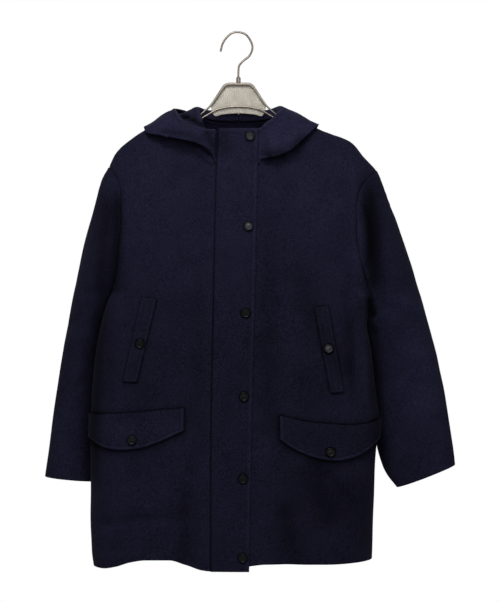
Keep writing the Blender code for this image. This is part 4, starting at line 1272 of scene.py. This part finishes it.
# The lip: distance from the middle, and its radius as so many times LIP_UNIT.
LIP = ((0, 3.1), (20, 3.1), (30, 2.7), (45, 2.3), (56, 2.0))
LIP_END = 54.0
LIP_UNIT = 1.0
LIP_POINTS = 90
PLATE_POINTS = 120
PLATE_SHARP = math.radians(45)
RESIN_SPECKS = 60.0
resin = {"Roughness": 0.42, "IOR": 1.49}
# The lip is a darker copy of the same plastic: painted shade, toning down the hard key light on its top.
pale, shaded = (
    speckled(name, RESIN_SPECKS, 2.0, colours, resin, ends=(0.3, 0.7))
    for name, colours in (
        ("moulded_polypropylene", ("#645f56", "#726e64")),
        ("moulded_polypropylene_lip", ("#514a42", "#5f5950")),
    )
)

lip_side = [(x, z) for x, z in UPPER_BAR if x <= LIP_END]
lip_path = [(-x, z) for x, z in lip_side[:0:-1]] + lip_side
wire_piece("plate_lip", lip_path, LIP_UNIT, LIP_POINTS, shaded, swell=LIP)
front_y = FRAME_WIRE + SEAM_GAP
half = [*PLATE_TOP, *PLATE_BOTTOM[-2::-1]]
whole = [(-PLATE_TOP[0][0], PLATE_TOP[0][1]), *half, *((-x, z) for x, z in half[-2::-1])]
outline = even_path([(x, front_y + FLAT_BACK, z) for x, z in whole], PLATE_POINTS + 1)[:-1]
mesh = bpy.data.meshes.new("ribbed_plate")
mesh.from_pydata((outline * MM).tolist(), [], [list(range(len(outline)))])
plate = new_object("ribbed_plate", mesh)
select_only(plate)
bpy.ops.object.mode_set(mode="EDIT")
bpy.ops.mesh.select_all(action="SELECT")
backwards = (0, (PLATE_THICKNESS - FLAT_BACK) * MM, 0)
bpy.ops.mesh.extrude_region_move(TRANSFORM_OT_translate={"value": backwards})
bpy.ops.mesh.select_all(action="SELECT")
bpy.ops.mesh.normals_make_consistent(inside=False)
bpy.ops.object.mode_set(mode="OBJECT")
edge = plate.modifiers.new("edge", "BEVEL")
edge.width = PLATE_EDGE * MM
edge.segments = 2
edge.limit_method = "ANGLE"
bpy.ops.object.modifier_apply(modifier="edge")

ribs = []
for number in range(-RIBS_A_SIDE, RIBS_A_SIDE + 1):
    x = number * RIB_PITCH
    top = np.interp(abs(x), *zip(*PLATE_TOP)) - RIB_BELOW_TOP
    bottom = np.interp(abs(x), *zip(*PLATE_BOTTOM)) + RIB_ABOVE_BOTTOM
    if top - bottom < SHORTEST_RIB:
        continue
    middle = (x * MM, (front_y + RIB_BACK) * MM, (top + bottom) / 2 * MM)
    size = {"radius": RIB_RADIUS * MM, "depth": (top - bottom) * MM}
    bpy.ops.mesh.primitive_cylinder_add(vertices=RIB_SIDES, location=middle, **size)
    bpy.ops.transform.resize(value=(1.0, RIB_FLATNESS, 1.0))
    bpy.ops.object.transform_apply(location=True, rotation=True, scale=True)
    ribs.append(bpy.context.object)
select_only(plate, *ribs)
bpy.ops.object.join()
bpy.ops.object.shade_smooth_by_angle(angle=PLATE_SHARP)
join_frame(plate, pale, "hanger_plate")
